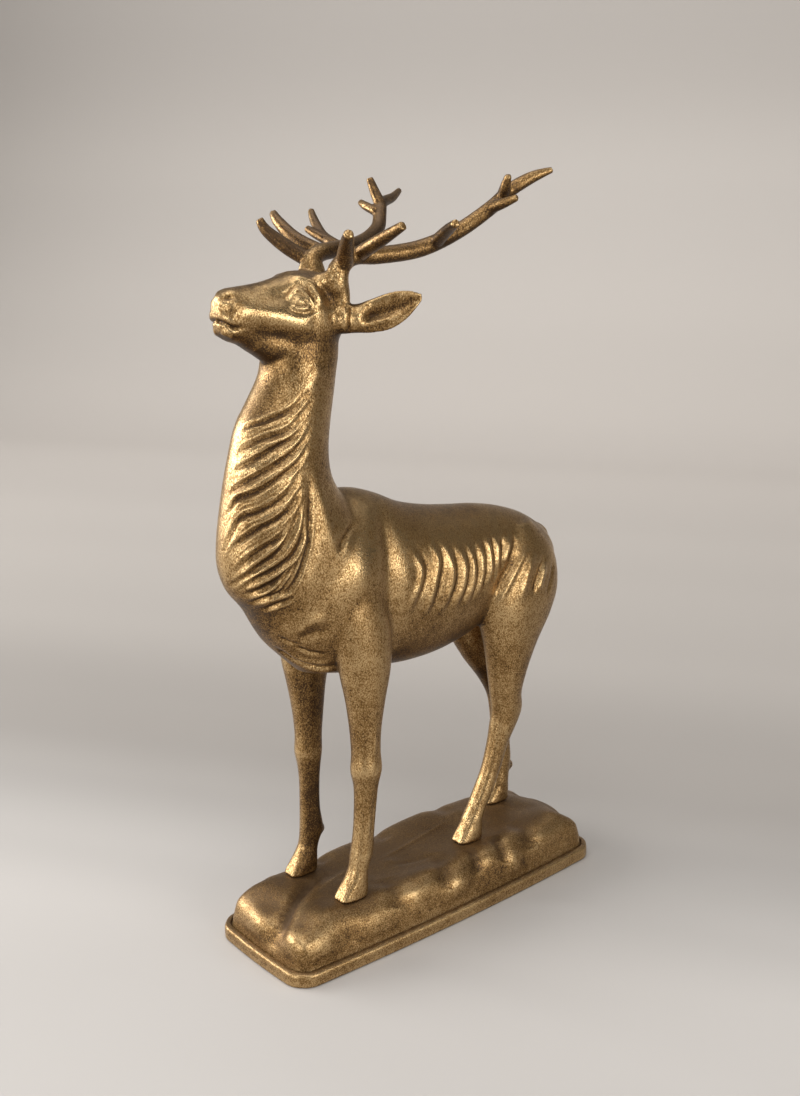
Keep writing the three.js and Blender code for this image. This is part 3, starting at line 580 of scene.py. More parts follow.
maneGrooves = [  # (degrees round from the front, height) on the neck, from the top down
    [(5, 208.6), (15, 210.3), (41, 212.7), (66, 216.4), (86, 223.4)],
    [(5, 200.3), (12, 201.9), (26, 204.6), (45, 206.8), (64, 208.6), (79, 212.8), (94, 221)],
    [(5, 194.3), (14, 196.2), (33, 199.4), (55, 203.4), (76, 207), (95, 216)],
    [(4, 186.7), (12, 189), (36, 193.6), (58, 197.6), (84, 203.6), (98, 212)],
    [(3, 178.8), (9, 181.8), (17, 185.5), (40, 188.6), (62, 193.1), (85, 198.6), (99, 208)],
    [(2, 165.5), (9, 169.3), (22, 178.8), (42, 181.7), (62, 185.6), (78, 190.7), (86, 195.9)],
    [(4, 163), (20, 170), (40, 175.5), (58, 179), (74, 184), (86, 191)],
    [(13, 157.8), (28, 164), (42, 168.6), (58, 173), (76, 181.5)],
    [(6, 155.4), (15, 156.2), (39, 162.6), (55, 168), (73, 178.1), (81, 184.9)],
    [(12, 152.9), (28, 156.7), (53, 162.2), (66, 167.4), (80, 177.6), (90, 192.9)],
    [(14, 151), (35, 154.1), (51, 157.7), (66, 163.5)],
    [(27, 146.9), (53, 152.2), (65, 159.2), (77, 170.3), (91, 184.3), (96, 192.6)],
    [(15, 148.2), (39, 151.1), (56, 153.6)], [(23, 145.1), (42, 147.7), (58, 150.3)],
]
maneStrands = [  # (share of the way from a groove to the next, amount, width)
    (0.3, -0.36, 0.5), (0.5, 0.35, 1.5), (0.55, -0.3, 0.5), (0.78, -0.34, 0.5),
]
rightMane = {"start": 36, "squeeze": 0.62}  # degrees, and the share of the left groove's turn

# The amounts and widths of what repeats, in mm, and the share of a line's length over which each end fades
reliefs = {
    "rib": (0.95, 1.9), "ribHollow": (-0.6, 1.4), "ribStep": 3.2, "ribEnds": 0.36, "muscleEnds": 0.34,
    "groove": (-0.85, 0.9), "grooveLip": 0.5, "grooveEnds": 0.4, "strandEnds": 0.42,
}
# Where the casting's skin keeps its fine form when the limbs are blended, in mm
keptFine = {
    "antlersFrom": 262, "burrFrom": 257, "burrOut": 14, "hoofTop": 25.5, "earFrom": 235, "earOut": 16.5,
    "faceFrom": 238, "faceAhead": -58, "faceShare": 0.65,
}


def onNeck(turn, height):
    # The neck's ring at that height: half width times sine to the side, belly reach times cosine to the front
    table = runThrough(neckRows, np.linspace(0, 1, 400))
    table = table[np.argsort(table[:, 2])]
    y, half, back, belly = (np.interp(height, table[:, 2], table[:, k]) for k in (1, 4, 5, 6))
    a = np.radians(turn)
    reach = np.where(np.cos(a) > 0, belly, back)
    return np.stack([half * np.sin(a), y - reach * np.cos(a), height + 0 * a], -1)


def sideOfMane(groove, side):
    # The left side's groove as it is; the right side's starts further round, which leaves the breast smooth
    turn, height = np.array(groove, float).T
    if side < 0:
        turn = -(rightMane["start"] + rightMane["squeeze"] * turn)
    return np.stack([turn, height])


def stagSkin():
    # The skins of all the limbs, joined to one skin through a grid of cubes
    skins = [
        limbSkin(trunkRows, 84, 150), limbSkin(neckRows, 84, 130), limbSkin(headRows, 72, 90),
        limbSkin(tailRows, 24, 24),
        *(limbSkin(rows, 48, 110) for rows in legRows.values()),
        *(branchSkin(path) for path in [*leftAntler.values(), *rightAntler.values()]),
        *(clawSkin(x, y, side) for side in (-1, 1) for x, y in hoofPlaces),
        *(wedgeSkin(x, y) for x, y in hoofPlaces),
        *(earSkin(side) for side in (-1, 1)),
    ]
    skins += [eggSkin(centre, radii) for centre, radii in joints]
    points, tris = joinSkins(skins)
    piece = newPiece("stagCasting", meshFromArrays("stagCasting", points, tris))
    remesh = piece.modifiers.new("joined", "REMESH")
    remesh.mode = "VOXEL"
    remesh.voxel_size = stagCasting["voxel"] * mm
    remesh.adaptivity = 0
    return bakeModifiers(piece)


def carveStag(surface):
    # All but the fine parts is smoothed, then the forms, the lids and ribs, and the mane are cut in turn
    out, ahead, tall = np.abs(surface.points[:, 0]), surface.points[:, 1], surface.points[:, 2]
    antler = (tall > keptFine["antlersFrom"]) | ((tall > keptFine["burrFrom"]) & (out > keptFine["burrOut"]))
    hoof = tall < keptFine["hoofTop"]
    ear = (out > keptFine["earOut"]) & (tall > keptFine["earFrom"]) & ~antler
    face = (tall > keptFine["faceFrom"]) & (ahead < keptFine["faceAhead"]) & ~antler
    fine = np.maximum((antler | hoof | ear).astype(float), keptFine["faceShare"] * face)
    fine = surface.soften(fine, 6)
    surface.relax(stagCasting["tipSteps"], np.ones(len(fine)))
    surface.relax(stagCasting["blendSteps"], 1 - fine)
    surface.points += surface.normals() * (stagCasting["swell"] * (1 - 0.5 * fine))[:, None]
    cut = Carver(surface)
    for amount, centre, radii in faceLumps + muscleLumps + burrKnobs:
        cut.lump(amount, centre, radii)
    for amount, width, line in faceLines:
        cut.stroke(amount, width, line)
    cut.apply()
    cut = Carver(surface)
    cut.lump(*eyeBall)
    for amount, width, line in lidLines:
        cut.stroke(amount, width, line)
    for crest in ribCrests:
        cut.stroke(*reliefs["rib"], crest, ends=reliefs["ribEnds"])
        behind = [(x, y + reliefs["ribStep"], z) for x, y, z in crest]
        cut.stroke(*reliefs["ribHollow"], behind, ends=reliefs["ribEnds"])
    for amount, width, line in muscleLines:
        cut.stroke(amount, width, line, ends=reliefs["muscleEnds"])
    cut.apply()
    cut = Carver(surface, mirrored=False)
    for side in (1, -1):
        grooves = [sideOfMane(groove, side) for groove in maneGrooves]
        for turn, height in grooves:
            place = onNeck(turn, height)
            cut.stroke(*reliefs["groove"], place, lip=reliefs["grooveLip"], ends=reliefs["grooveEnds"])
        for upper, lower in zip(grooves, grooves[1:]):
            a = runThrough(upper.T, np.linspace(0, 1, 9))
            b = runThrough(lower.T, np.linspace(0, 1, 9))
            for share, amount, width in maneStrands:
                turn, height = (a * (1 - share) + b * share).T
                cut.stroke(amount, width, onNeck(turn, height), ends=reliefs["strandEnds"])
    cut.apply()


def writePoints(mesh, points):
    # The points go back to the mesh, from mm to metres
    mesh.vertices.foreach_set("co", (points * mm).astype(np.float32).ravel())
    mesh.update()


stag = stagSkin()
print("stag joined:", len(stag.data.vertices), "points")
stagSurface = Surface(stag.data)
carveStag(stagSurface)
writePoints(stag.data, stagSurface.points)
thin = stag.modifiers.new("thin", "DECIMATE")
thin.ratio = min(1.0, stagCasting["triangles"] / len(stagSurface.tris))
bakeModifiers(stag)
print("stag carved:", len(stag.data.polygons), "faces")
stag.data.shade_smooth()
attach(stag, "root")
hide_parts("stag")


# What a user would change about the plinth, in mm
plinth = {
    "length": 165, "width": 56.4, "corner": 8.5, "sideBow": 2.5, "endBow": 1.2,
    "rimHeight": 5.8, "rimRound": 1.4, "grooveDepth": 0.9,
    "wallInset": 4.5, "wallTop": 16.8, "crestEnds": 20, "crestMiddle": 20.6,
    "cellsAcross": 96, "cellsAlong": 264,
    "padHeight": 21.6, "padReach": 11,
    "smoothing": 70,        # rounds on the rock
    "bumps": 130, "bumpHeight": 0.55, "bumpReach": (2.5, 7), "seed": 7,     # the random bells
}
rockBumps = [  # [x, y, radius along x, radius along y, height]
    [20, -70, 12, 13, 3.6], [-12, -72, 13, 12, 2.5], [4, -52, 10, 12, 2], [22, -40, 8, 13, 2.2],
    [23, -12, 7, 14, 3], [20, 12, 8, 10, 1.6], [22, 36, 8, 12, 3], [16, 62, 10, 12, 1.6],
    [-16, 22, 12, 20, 3], [-18, -30, 10, 18, 1.6], [0, 74, 16, 10, 1.2], [-20, -72, 9, 10, 1.4],
    [20, 70, 10, 9, 1.6], [8, 76, 12, 7, 1.2],
]
rockLobes = [  # [amount, centre, radii]: the scallops of the rock's side
    [-2, (7, -80, 14), (5, 6, 6)], [1.1, (16, -79, 16), (6, 5, 4)], [0.9, (-2, -80.5, 16), (6, 5, 4)],
    [1.2, (23, -72, 14), (9, 9, 6)], [1, (-4, -79, 13), (9, 6, 6)], [0.7, (23, -22, 18), (8, 11, 4)],
    [1.1, (25, 1, 15), (6, 6, 5)], [0.7, (22, 19, 18.5), (7, 8, 4)], [1, (25.5, 33, 13.5), (6, 5, 6)],
    [0.5, (23, 53, 18), (7, 10, 4)], [0.6, (25, -44, 14), (7, 9, 6)], [-0.6, (26, -56, 13), (6, 7, 6)],
    [0.8, (-24, -60, 14), (7, 11, 6)], [0.7, (-25, -22, 15), (7, 10, 6)], [0.8, (-24, 10, 15), (7, 11, 6)],
    [0.7, (-24, 44, 15), (7, 11, 6)], [0.7, (2, 78, 14), (11, 6, 6)],
]
rockValleys = [  # [amount, width, points]
    [-2.1, 3.2, [(12, -80, 12), (10, -77, 15), (5, -70, 18.5), (0, -61, 20), (-4, -52, 21), (-8, -42, 21)]],
    [-1.2, 5, [(25, -8.5, 14), (21, -5, 18), (15, -1, 20.5), (8, 2, 21)]],
    [-0.9, 3.4, [(25, 12, 14), (21, 13, 18), (14, 17, 20.5)]],
    [-1.1, 3, [(25, 26, 14), (20, 28, 18), (15, 29, 21)]],
    [-1.1, 5, [(25, 44, 14), (19, 45, 19), (10, 45, 21)]],
    [-0.9, 5, [(25, -31, 14), (20, -30, 18), (11, -28, 21)]],
    [-1.2, 5, [(-25, -40, 14), (-20, -39, 18), (-13, -37, 20)]],
    [-1.2, 5, [(-25, -6, 14), (-20, -6, 19), (-12, -5, 21)]],
    [-1.2, 5, [(-25, 28, 14), (-20, 28, 19), (-10, 30, 22)]],
    [-1.1, 4.6, [(-13, 79, 13), (-11, 76, 16), (-7, 70, 19)]],
    [-1.1, 4.6, [(15, 78, 13), (14, 75, 16), (11, 69, 19)]],
    [0.32, 1.1, [(-1.9, -21.4, 21), (-2.9, -9.6, 21), (-5.3, 9.5, 21), (-7.8, 29.6, 21)]],
    [0.3, 1.2, [(2.5, -53.4, 21), (-1.1, -43.1, 21), (-4.7, -32.4, 21)]],
    [-0.35, 1.6, [(4, -20, 21), (8, -8, 21), (9, 4, 21)]],
]


def plinthOutline(s, t, inset):
    # A square's edge becomes a rectangle with round corners, whose sides bow by a parabola, less the inset
    corner = np.maximum(plinth["corner"] - inset, 1)
    halfWidth = plinth["width"] / 2 - inset + plinth["sideBow"] * (1 - t * t)
    halfLength = plinth["length"] / 2 - inset + plinth["endBow"] * (1 - s * s)
    overX = np.abs(s) * halfWidth - (halfWidth - corner)
    overY = np.abs(t) * halfLength - (halfLength - corner)
    inCorner = (overX > 0) & (overY > 0)
    pull = corner / np.maximum(np.hypot(overX, overY), 1e-9)
    x = np.where(inCorner, np.sign(s) * (halfWidth - corner + overX * pull), s * halfWidth)
    y = np.where(inCorner, np.sign(t) * (halfLength - corner + overY * pull), t * halfLength)
    return x, y


def rockHeight(x, y):
    # A long crown plus bells, levelled to a flat pad under each hoof
    middle = 1 - smoothStep(45, 82, np.abs(y))
    height = plinth["crestEnds"] + (plinth["crestMiddle"] - plinth["crestEnds"]) * middle
    for bx, by, rx, ry, tall in rockBumps:
        height = height + tall * np.exp(-(((x - bx) / rx) ** 2) - ((y - by) / ry) ** 2)
    return padded(x, y, height)


def padded(x, y, height):
    # Within a hoof's reach the height runs to the pad's, and never over it, by 1 less a smooth step
    for hx, hy in hoofPlaces:
        near = 1 - smoothStep(plinth["padReach"] / 2, plinth["padReach"], np.hypot(x - hx, y - hy))
        height = height + (plinth["padHeight"] - height) * near
        height = np.where(near > 0, np.minimum(height, plinth["padHeight"]), height)
    return height


def plinthMesh():
    # A square grid stretched over the rock, then rings of its border down wall, groove and rim to a flat base
    across, along = plinth["cellsAcross"], plinth["cellsAlong"]
    t, s = np.meshgrid(np.linspace(-1, 1, along + 1), np.linspace(-1, 1, across + 1), indexing="ij")
    out = np.maximum(np.maximum(np.abs(s), np.abs(t)), 0.01)
    x, y = plinthOutline(s / out, t / out, plinth["wallInset"])
    x, y = x * out, y * out
    edge = smoothStep(0.76, 1, out) ** 1.8
    z = rockHeight(x, y) * (1 - edge) + plinth["wallTop"] * edge
    index = np.arange(z.size).reshape(z.shape)
    border = np.concatenate([index[0, :-1], index[:-1, -1], index[-1, :0:-1], index[:0:-1, 0]])
    quads = np.stack([index[:-1, :-1], index[:-1, 1:], index[1:, 1:], index[1:, :-1]], -1).reshape(-1, 4)
    inset, rim, rimRound = plinth["wallInset"], plinth["rimHeight"], plinth["rimRound"]
    profile = np.array([  # [inset, height] down the wall
        [inset, plinth["wallTop"]], [inset - 0.5, rim + 6.6], [inset - 0.9, rim + 4],
        [inset - 1.15, rim + 1.8],
        [inset - 1.35, rim + 0.2], [inset - 1.7, rim - 0.8], [inset - 2.1, rim - 0.75],
        [rimRound + 0.9, rim - 0.1],
        [rimRound + 0.3, rim + 0.05], [rimRound * 0.5, rim - 0.25], [rimRound * 0.14, rim - 0.8],
        [0, rim - rimRound - 0.4], [0, rim * 0.5], [0, 1.2], [0.15, 0.5], [0.7, 0],
    ])
    down = runThrough(profile, np.linspace(0, 1, 56)[1:])
    down[:, 1] = np.maximum(down[:, 1], 0)
    down[-1] = profile[-1]
    down[:, 0] = np.maximum(down[:, 0], 0)
    ringS, ringT = s.ravel()[border], t.ravel()[border]
    ringX, ringY = plinthOutline(ringS[None, :], ringT[None, :], down[:, :1])
    ringZ = np.broadcast_to(down[:, 1:2], ringX.shape)
    top = np.stack([x.ravel(), y.ravel(), z.ravel()], 1)
    walls = np.stack([ringX, ringY, ringZ], -1).reshape(-1, 3)
    points = np.concatenate([top, walls, [[0, 0, 0]]])
    n = len(border)
    rings = np.concatenate([border[None, :], len(top) + np.arange(walls.shape[0]).reshape(-1, n)])
    after = np.roll(rings, -1, 1)
    sides = np.stack([rings[:-1], rings[1:], after[1:], after[:-1]], -1).reshape(-1, 4)
    faces = np.concatenate([quads, sides])
    fan = np.stack([rings[-1], np.full(n, len(points) - 1), after[-1]], 1)
    tris = np.concatenate([faces[:, [0, 1, 2]], faces[:, [0, 2, 3]], fan])
    return meshFromArrays("plinthCasting", points, tris)


def carvePlinth(surface):
    # The rock is smoothed, then gets lobes, valleys and random bells, which fade out at hooves and rim
    p = surface.points
    rock = p[:, 2] > plinth["rimHeight"] + 0.6
    surface.relax(plinth["smoothing"], smoothStep(plinth["rimHeight"] + 2, plinth["rimHeight"] + 6, p[:, 2]))
    cut = Carver(surface, mirrored=False)
    for amount, centre, radii in rockLobes:
        cut.lump(amount, centre, radii, rock)
    for amount, width, line in rockValleys:
        cut.stroke(amount, width, line, ends=0.35, only=rock)
    rng = np.random.default_rng(plinth["seed"])
    for _ in range(plinth["bumps"]):
        place = np.array([rng.uniform(-27, 27), rng.uniform(-80, 80), rng.uniform(10, 22)])
        amount = rng.uniform(-plinth["bumpHeight"], plinth["bumpHeight"])
        cut.lump(amount, place, rng.uniform(*plinth["bumpReach"]), rock)
    pads = np.ones(len(p))
    for hx, hy in hoofPlaces:
        pads *= smoothStep(plinth["padReach"] / 2, plinth["padReach"], np.hypot(p[:, 0] - hx, p[:, 1] - hy))
    cut.height *= pads * smoothStep(plinth["rimHeight"] + 0.6, plinth["rimHeight"] + 5, p[:, 2])
    cut.apply()


plinthPiece = newPiece("plinthCasting", plinthMesh())
plinthSurface = Surface(plinthPiece.data)
carvePlinth(plinthSurface)
writePoints(plinthPiece.data, plinthSurface.points)
plinthPiece.data.shade_smooth()
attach(plinthPiece, "root")
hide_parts("base")
print("plinth carved:", len(plinthPiece.data.polygons), "faces")


def markRelief(piece, surface, reach):
    # How far the skin, smoothed over a short and a long way, lies above a point: hollows come out above 0
    p, n = surface.points, surface.normals()
    smooth = [p[:, k].copy() for k in range(3)]
    found = []
    for rounds in reach:
        smooth = [surface.soften(v, rounds) for v in smooth]
        found.append(((np.stack(smooth, 1) - p) * n).sum(1))
    for name, values in zip(("creaseFine", "creaseWide"), found):
        layer = piece.data.attributes.new(name, "FLOAT", "POINT")
        layer.data.foreach_set("value", values.astype(np.float32))


markRelief(stag, Surface(stag.data), (3, 24))
markRelief(plinthPiece, plinthSurface, (4, 40))
print("relief marked")


class Wire:
    # One socket of a node tree. Sums and products of wires and numbers write Math nodes.
    def __init__(self, finish, socket):
        self.finish = finish
        self.socket = socket

    def calc(self, operation, *inputs, clamp=False):
        # One sum or product of wires and numbers
        settings = {"operation": operation, "use_clamp": clamp}
        return self.finish.node("ShaderNodeMath", settings, *inputs)[0]

    def __add__(self, other):
        return self.calc("ADD", self, other)

    def __sub__(self, other):
        return self.calc("SUBTRACT", self, other)

    def __rsub__(self, other):
        return self.calc("SUBTRACT", other, self)

    def __mul__(self, other):
        return self.calc("MULTIPLY", self, other)

    __radd__ = __add__

    def held(self):
        # kept from 0 to 1
        return self.calc("ADD", self, 0.0, clamp=True)

    def between(self, low, high):
        # 0 at low and below, 1 at high and above, smooth in between
        settings = {"interpolation_type": "SMOOTHSTEP", "clamp": True}
        limits = {"From Min": low, "From Max": high}
        return self.finish.node("ShaderNodeMapRange", settings, Value=self, **limits)[0]


class Finish:
    # A material under construction
    def __init__(self, name):
        self.material = bpy.data.materials.new(name)
        self.material.use_nodes = True
        self.tree = self.material.node_tree
        self.shader = self.tree.nodes["Principled BSDF"]

    def node(self, kind, settings=None, *inputs, **named):
        # A node of that type; its inputs go by place or by name, and its outputs come back as wires
        made = self.tree.nodes.new(kind)
        for key, value in (settings or {}).items():
            setattr(made, key, value)
        for key, value in [*enumerate(inputs), *named.items()]:
            self.plug(made.inputs[key], value)
        return [Wire(self, out) for out in made.outputs if out.enabled]

    def plug(self, socket, value):
        # A wire is linked to the socket, and anything else is set on it
        if isinstance(value, Wire):
            self.tree.links.new(value.socket, socket)
        else:
            socket.default_value = value

    def blend(self, share, first, second):
        # A colour between two, by a share from 0 to 1
        made = self.tree.nodes.new("ShaderNodeMix")
        made.data_type = "RGBA"
        ends = [s for s in made.inputs if s.enabled]
        self.plug(ends[0], share)
        self.plug(ends[1], first)
        self.plug(ends[2], second)
        return Wire(self, next(s for s in made.outputs if s.enabled))

    def attribute(self, name):
        # A number kept at the mesh's points
        made = self.tree.nodes.new("ShaderNodeAttribute")
        made.attribute_name = name
        return Wire(self, made.outputs["Fac"])

    def noise(self, where, scale, detail=2.0, roughness=0.5):
        # Clouds of about 1 / scale metres
        settings = {"noise_dimensions": "3D"}
        return self.node("ShaderNodeTexNoise", settings, Vector=where, Scale=scale, Detail=detail,
                         Roughness=roughness)[0]


brassLook = {
    "gold": (0.54, 0.368, 0.177, 1),       # worn high spots
    "amber": (0.205, 0.109, 0.031, 1),     # the mass of the metal
    "umber": (0.05, 0.025, 0.0085, 1),     # the patina in pits and creases
    "shadeOnTop": (0.11, 0.065, 0.03, 1),        # painted shade on what faces up, darker and greyer
    "grain": 2000.0,                       # pits of the sand casting, per metre
    "grainDepth": 0.00013,                 # metres
    "keptOnAntlers": 0.15,                 # how far each place's level goes down, or up for the last
    # the next three are painted shade, and the face's is a painted highlight
    "shadeBelow": 0.2,
    "shadeInside": 0.2,
    "shadeAtThroat": 0.13,
    "faceHighlight": 0.1,
}


def antiqueBrass(name, patina, gloss, drawn):
    # level = specks + wear - hollows + clouds - patina - painted shade + a painted highlight
    # It runs from umber through amber to gold, and from dull to bright
    # Antlers are rubbed less by hands, so they keep more patina; undersides, the inner sides of the legs and
    # a band at the throat get painted shade, the cheeks get a painted highlight, and what faces up gets a
    # painted shade, darker and greyer
    f = Finish(name)
    where = f.node("ShaderNodeTexCoord")[3]
    across, along, tall = f.node("ShaderNodeSeparateXYZ", None, where)
    outward, _, up = f.node("ShaderNodeSeparateXYZ", None, f.node("ShaderNodeNewGeometry")[1])
    hairs = f.node("ShaderNodeVectorMath", {"operation": "MULTIPLY"}, where, (1, 1, drawn))[0]
    coarse = f.noise(hairs, brassLook["grain"], 2.0, 0.6)
    pits = f.node("ShaderNodeTexVoronoi", {"feature": "SMOOTH_F1"}, Vector=hairs, Scale=brassLook["grain"],
                  Smoothness=0.5)[0]
    clouds = f.noise(where, 55.0, 3.0, 0.55)
    haze = f.noise(where, 380.0, 3.0, 0.65)
    fine, wide = f.attribute("creaseFine"), f.attribute("creaseWide")
    hollow = (fine.between(0.01, 0.14) * 0.36 + wide.between(0.05, 0.7) * 0.8).held()
    worn = ((fine * -1.0).between(0.0, 0.10) * 0.5 + (wide * -1.0).between(0.02, 0.7) * 0.5).held()
    grain = coarse * 0.62 - pits * 0.42
    patinaAndShade = tall.between(0.258, 0.272) * brassLook["keptOnAntlers"]
    # painted shade under things: surfaces that face down are darkened
    patinaAndShade = patinaAndShade + (up * -1.0).between(0.0, 0.7) * brassLook["shadeBelow"]
    # painted shade between the legs: surfaces that face the stag's middle are darkened
    patinaAndShade = patinaAndShade + (across * outward * -1.0).between(0.002, 0.011) * brassLook["shadeInside"]
    patinaAndShade = patinaAndShade + tall.between(0.0055, 0.009) * patina
    # painted shade under the cheek: a band round the throat and jaw is darkened
    throatShade = tall.between(0.224, 0.234) * (1 - tall.between(0.240, 0.245)) * brassLook["shadeAtThroat"]
    # painted highlight: a band over the cheeks is brightened
    ahead = along * -1.0
    cheekBand = ahead.between(0.055, 0.072) * (1 - ahead.between(0.079, 0.088) * 1.6)
    cheekHighlight = cheekBand * tall.between(0.238, 0.246) * brassLook["faceHighlight"]
    level = grain * 0.95 + 0.36 + worn * 0.2 - hollow * 0.4 + (clouds - 0.5) * 0.4 + (haze - 0.5) * 0.34
    level = level - patinaAndShade - throatShade + cheekHighlight
    shine = level.between(0.34, 0.70)
    # painted shade: what faces up is darkened and greyed, patchy by the haze
    paintedTopShade = up.between(0.35, 0.95) * (haze.between(0.34, 0.66) * 0.5 + 0.4)
    body = f.blend(level.between(0.14, 0.42), brassLook["umber"], brassLook["amber"])
    metal = f.blend(shine, body, brassLook["gold"])
    colour = f.blend(paintedTopShade * (1 - worn * 0.5), metal, brassLook["shadeOnTop"])
    f.plug(f.shader.inputs["Base Color"], colour)
    f.plug(f.shader.inputs["Metallic"], (0.8 + shine * 0.2).held())
    f.plug(f.shader.inputs["Roughness"], (gloss + (1 - shine) * 0.14 + paintedTopShade * 0.08 + hollow * 0.08).held())
    bump = f.node("ShaderNodeBump", None, Height=grain, Distance=brassLook["grainDepth"], Strength=1.0)[0]
    f.plug(f.shader.inputs["Normal"], bump)
    f.shader.inputs["IOR"].default_value = 1.6
    return f.material


stag.data.materials.clear()
stag.data.materials.append(antiqueBrass("antiqueBrass", 0.0, 0.26, 0.75))
plinthPiece.data.materials.clear()
plinthPiece.data.materials.append(antiqueBrass("plinthBrass", 0.11, 0.3, 1.0))
print("finishes made")


camera = {
    "place": (0.36808, -0.32625, 0.28249),
    "heading": 49.27,       # degrees that the image's right side is turned from +X
    "dip": 14.83,           # degrees that it looks down
    "lens": 1275 / 1096 * 36,
}


def makeCamera():
    # right = (cos, sin) of the heading; back is level and square to it, raised by the dip; up = back x right
    turn, dip = math.radians(camera["heading"]), math.radians(camera["dip"])
    right = Vector((math.cos(turn), math.sin(turn), 0))
    back = Vector((math.sin(turn) * math.cos(dip), -math.cos(turn) * math.cos(dip), math.sin(dip)))
    up = back.cross(right)
    data = bpy.data.cameras.new("photoCamera")
    data.lens = camera["lens"]
    data.sensor_width = 36
    data.clip_start = 0.01
    data.clip_end = 20
    eye = bpy.data.objects.new("photoCamera", data)
    eye.matrix_world = Matrix.Translation(camera["place"]) @ Matrix((right, up, back)).transposed().to_4x4()
    bpy.context.scene.collection.objects.link(eye)
    bpy.context.scene.camera = eye


sweep = {
    "behind": 0.95,         # metres from the middle of the plinth to where the paper starts to rise
    "radius": 0.45,
    "turn": 34.0,           # degrees that its line is turned from +X
    "half": 2.6,
    "front": 2.2,
    "top": 2.6,
    "paper": (0.532, 0.502, 0.472, 1),
    "farPaper": (0.532, 0.49, 0.449, 1),
    "shadeTones": [              # [metres behind the plinth's middle, share of the paper's colour]: painted shade, a dark band just behind the plinth and darker towards the top of the wall
        [-0.30, 0.91], [-0.05, 0.89], [0.0, 0.79], [0.07, 0.62], [0.12, 0.55], [0.18, 0.56], [0.32, 0.67],
        [0.5, 0.73], [0.65, 0.79], [0.92, 0.91], [1.1, 0.87], [1.4, 0.81], [1.7, 0.73], [1.95, 0.6],
        [2.3, 0.5],
    ],
}


def makeSweep():
    # A profile, flat floor then a quarter circle then an upright wall, drawn along a straight line
    r, b = sweep["radius"], sweep["behind"]
    arc = np.linspace(0, math.pi / 2, 24)
    depth = np.concatenate([np.linspace(-sweep["front"], b, 12)[:-1], b + r * np.sin(arc), [b + r] * 6])
    height = np.concatenate([np.zeros(11), r * (1 - np.cos(arc)), np.linspace(r, sweep["top"], 7)[1:]])
    turn = math.radians(sweep["turn"])
    line = np.array([math.cos(turn), math.sin(turn)])
    away = np.array([-math.sin(turn), math.cos(turn)])
    along = np.linspace(-sweep["half"], sweep["half"], 9)
    flat = along[None, :, None] * line + depth[:, None, None] * away
    grid = np.concatenate([flat, np.broadcast_to(height[:, None, None], flat.shape[:2] + (1,))], -1)
    rows, cols = grid.shape[:2]
    i = np.arange(rows * cols).reshape(rows, cols)
    quads = np.stack([i[:-1, :-1], i[:-1, 1:], i[1:, 1:], i[1:, :-1]], -1).reshape(-1, 4)
    piece = newPiece("paperSweep", meshFromArrays("paperSweep", grid.reshape(-1, 3) / mm, quads))
    piece.data.shade_smooth()
    f = Finish("palePaper")
    x, y, z = f.node("ShaderNodeSeparateXYZ", None, f.node("ShaderNodeTexCoord")[3])
    deep = y * float(away[1]) + x * float(away[0]) + z
    # painted shade on the paper, by how far back plus how high it is
    paintedShade = sweep["shadeTones"][0][1]
    for (start, before), (end, after) in zip(sweep["shadeTones"], sweep["shadeTones"][1:]):
        paintedShade = deep.between(start, end) * (after - before) + paintedShade
    paper = f.blend(deep.between(0.0, 0.15), sweep["paper"], sweep["farPaper"])
    f.plug(f.shader.inputs["Base Color"], f.blend(paintedShade, (0, 0, 0, 1), paper))
    f.plug(f.shader.inputs["Roughness"], 0.6)
    f.shader.inputs["Specular IOR Level"].default_value = 0.3
    piece.data.materials.append(f.material)


# [degrees round from the front towards the stag's left, degrees up, distance, width, height, watts]
softboxes = {
    "left": [-50, 16, 1.3, 1.1, 0.7, 19.5],
    "low": [12, 6, 1.3, 0.8, 0.5, 6],
    "right": [96, 12, 1.3, 0.9, 0.6, 9.2],
    "over": [50, 46, 1.3, 0.9, 0.5, 4],
    "top": [0, 72, 1.3, 0.9, 0.9, 8.5],
}
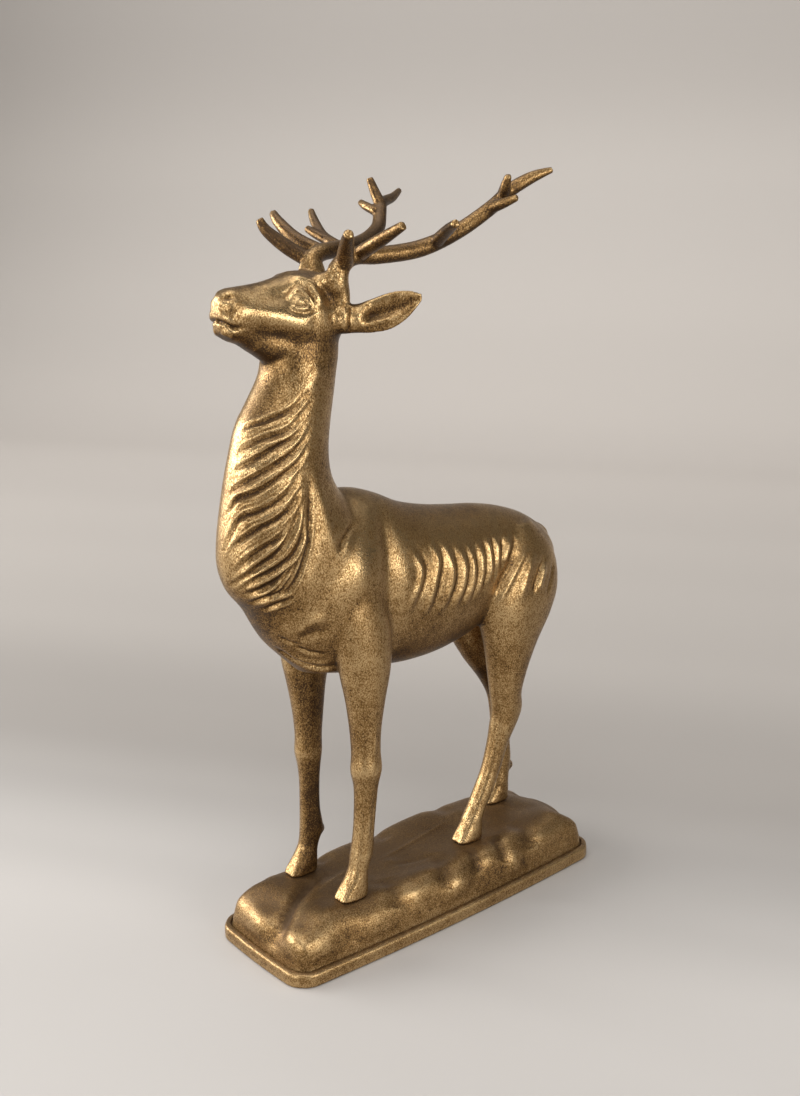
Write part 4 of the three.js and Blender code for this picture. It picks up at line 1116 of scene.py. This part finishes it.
# A strip over the plinth's back, metres behind its middle and up, and the height on the backdrop it points at
backdropLight = {"deep": 0.3, "high": 1.25, "aim": 0.35, "power": 17, "width": 2.2, "height": 0.4}
studio = {
    "aim": (0, 0, 0.13),            # metres, what the softboxes face
    "room": (0.05, 0.046, 0.042, 1),
    "wall": (0.5, 0.47, 0.44, 1),   # beyond the paper, where the camera sees past it
}


def areaLight(name, place, goal, width, height, power):
    # A soft rectangle that faces its goal, and that the camera doesn't see
    data = bpy.data.lights.new(name, "AREA")
    data.shape = "RECTANGLE"
    data.size = width
    data.size_y = height
    data.energy = power
    light = bpy.data.objects.new(name, data)
    light.location = place
    light.rotation_euler = (goal - place).to_track_quat("-Z", "Y").to_euler()
    light.visible_camera = False
    bpy.context.scene.collection.objects.link(light)


def makeLights():
    # A softbox is at the distance times ((sin, -cos) of its turn times cos of its rise, sin of its rise)
    aim = Vector(studio["aim"])
    for name, (around, rise, away, width, height, power) in softboxes.items():
        a, e = math.radians(around), math.radians(rise)
        place = aim + away * Vector((math.sin(a) * math.cos(e), -math.cos(a) * math.cos(e), math.sin(e)))
        areaLight(name, place, aim, width, height, power)
    turn = math.radians(sweep["turn"])
    back = Vector((-math.sin(turn), math.cos(turn), 0))
    place = back * backdropLight["deep"] + Vector((0, 0, backdropLight["high"]))
    goal = back * (sweep["behind"] + sweep["radius"]) + Vector((0, 0, backdropLight["aim"]))
    areaLight(
        "backdropLight", place, goal, backdropLight["width"], backdropLight["height"], backdropLight["power"])


def makeRoom():
    # A dim room lights the metal, and the camera sees the wall's tone past the paper
    world = bpy.data.worlds.new("studio")
    bpy.context.scene.world = world
    world.use_nodes = True
    tree = world.node_tree
    room = tree.nodes["Background"]
    room.inputs["Color"].default_value = studio["room"]
    wall = tree.nodes.new("ShaderNodeBackground")
    wall.inputs["Color"].default_value = studio["wall"]
    ray = tree.nodes.new("ShaderNodeLightPath")
    pick = tree.nodes.new("ShaderNodeMixShader")
    tree.links.new(ray.outputs["Is Camera Ray"], pick.inputs[0])
    tree.links.new(room.outputs[0], pick.inputs[1])
    tree.links.new(wall.outputs[0], pick.inputs[2])
    tree.links.new(pick.outputs[0], tree.nodes["World Output"].inputs["Surface"])
    bpy.context.scene.view_settings.view_transform = "Standard"


makeCamera()
makeSweep()
makeLights()
makeRoom()
print("studio made")
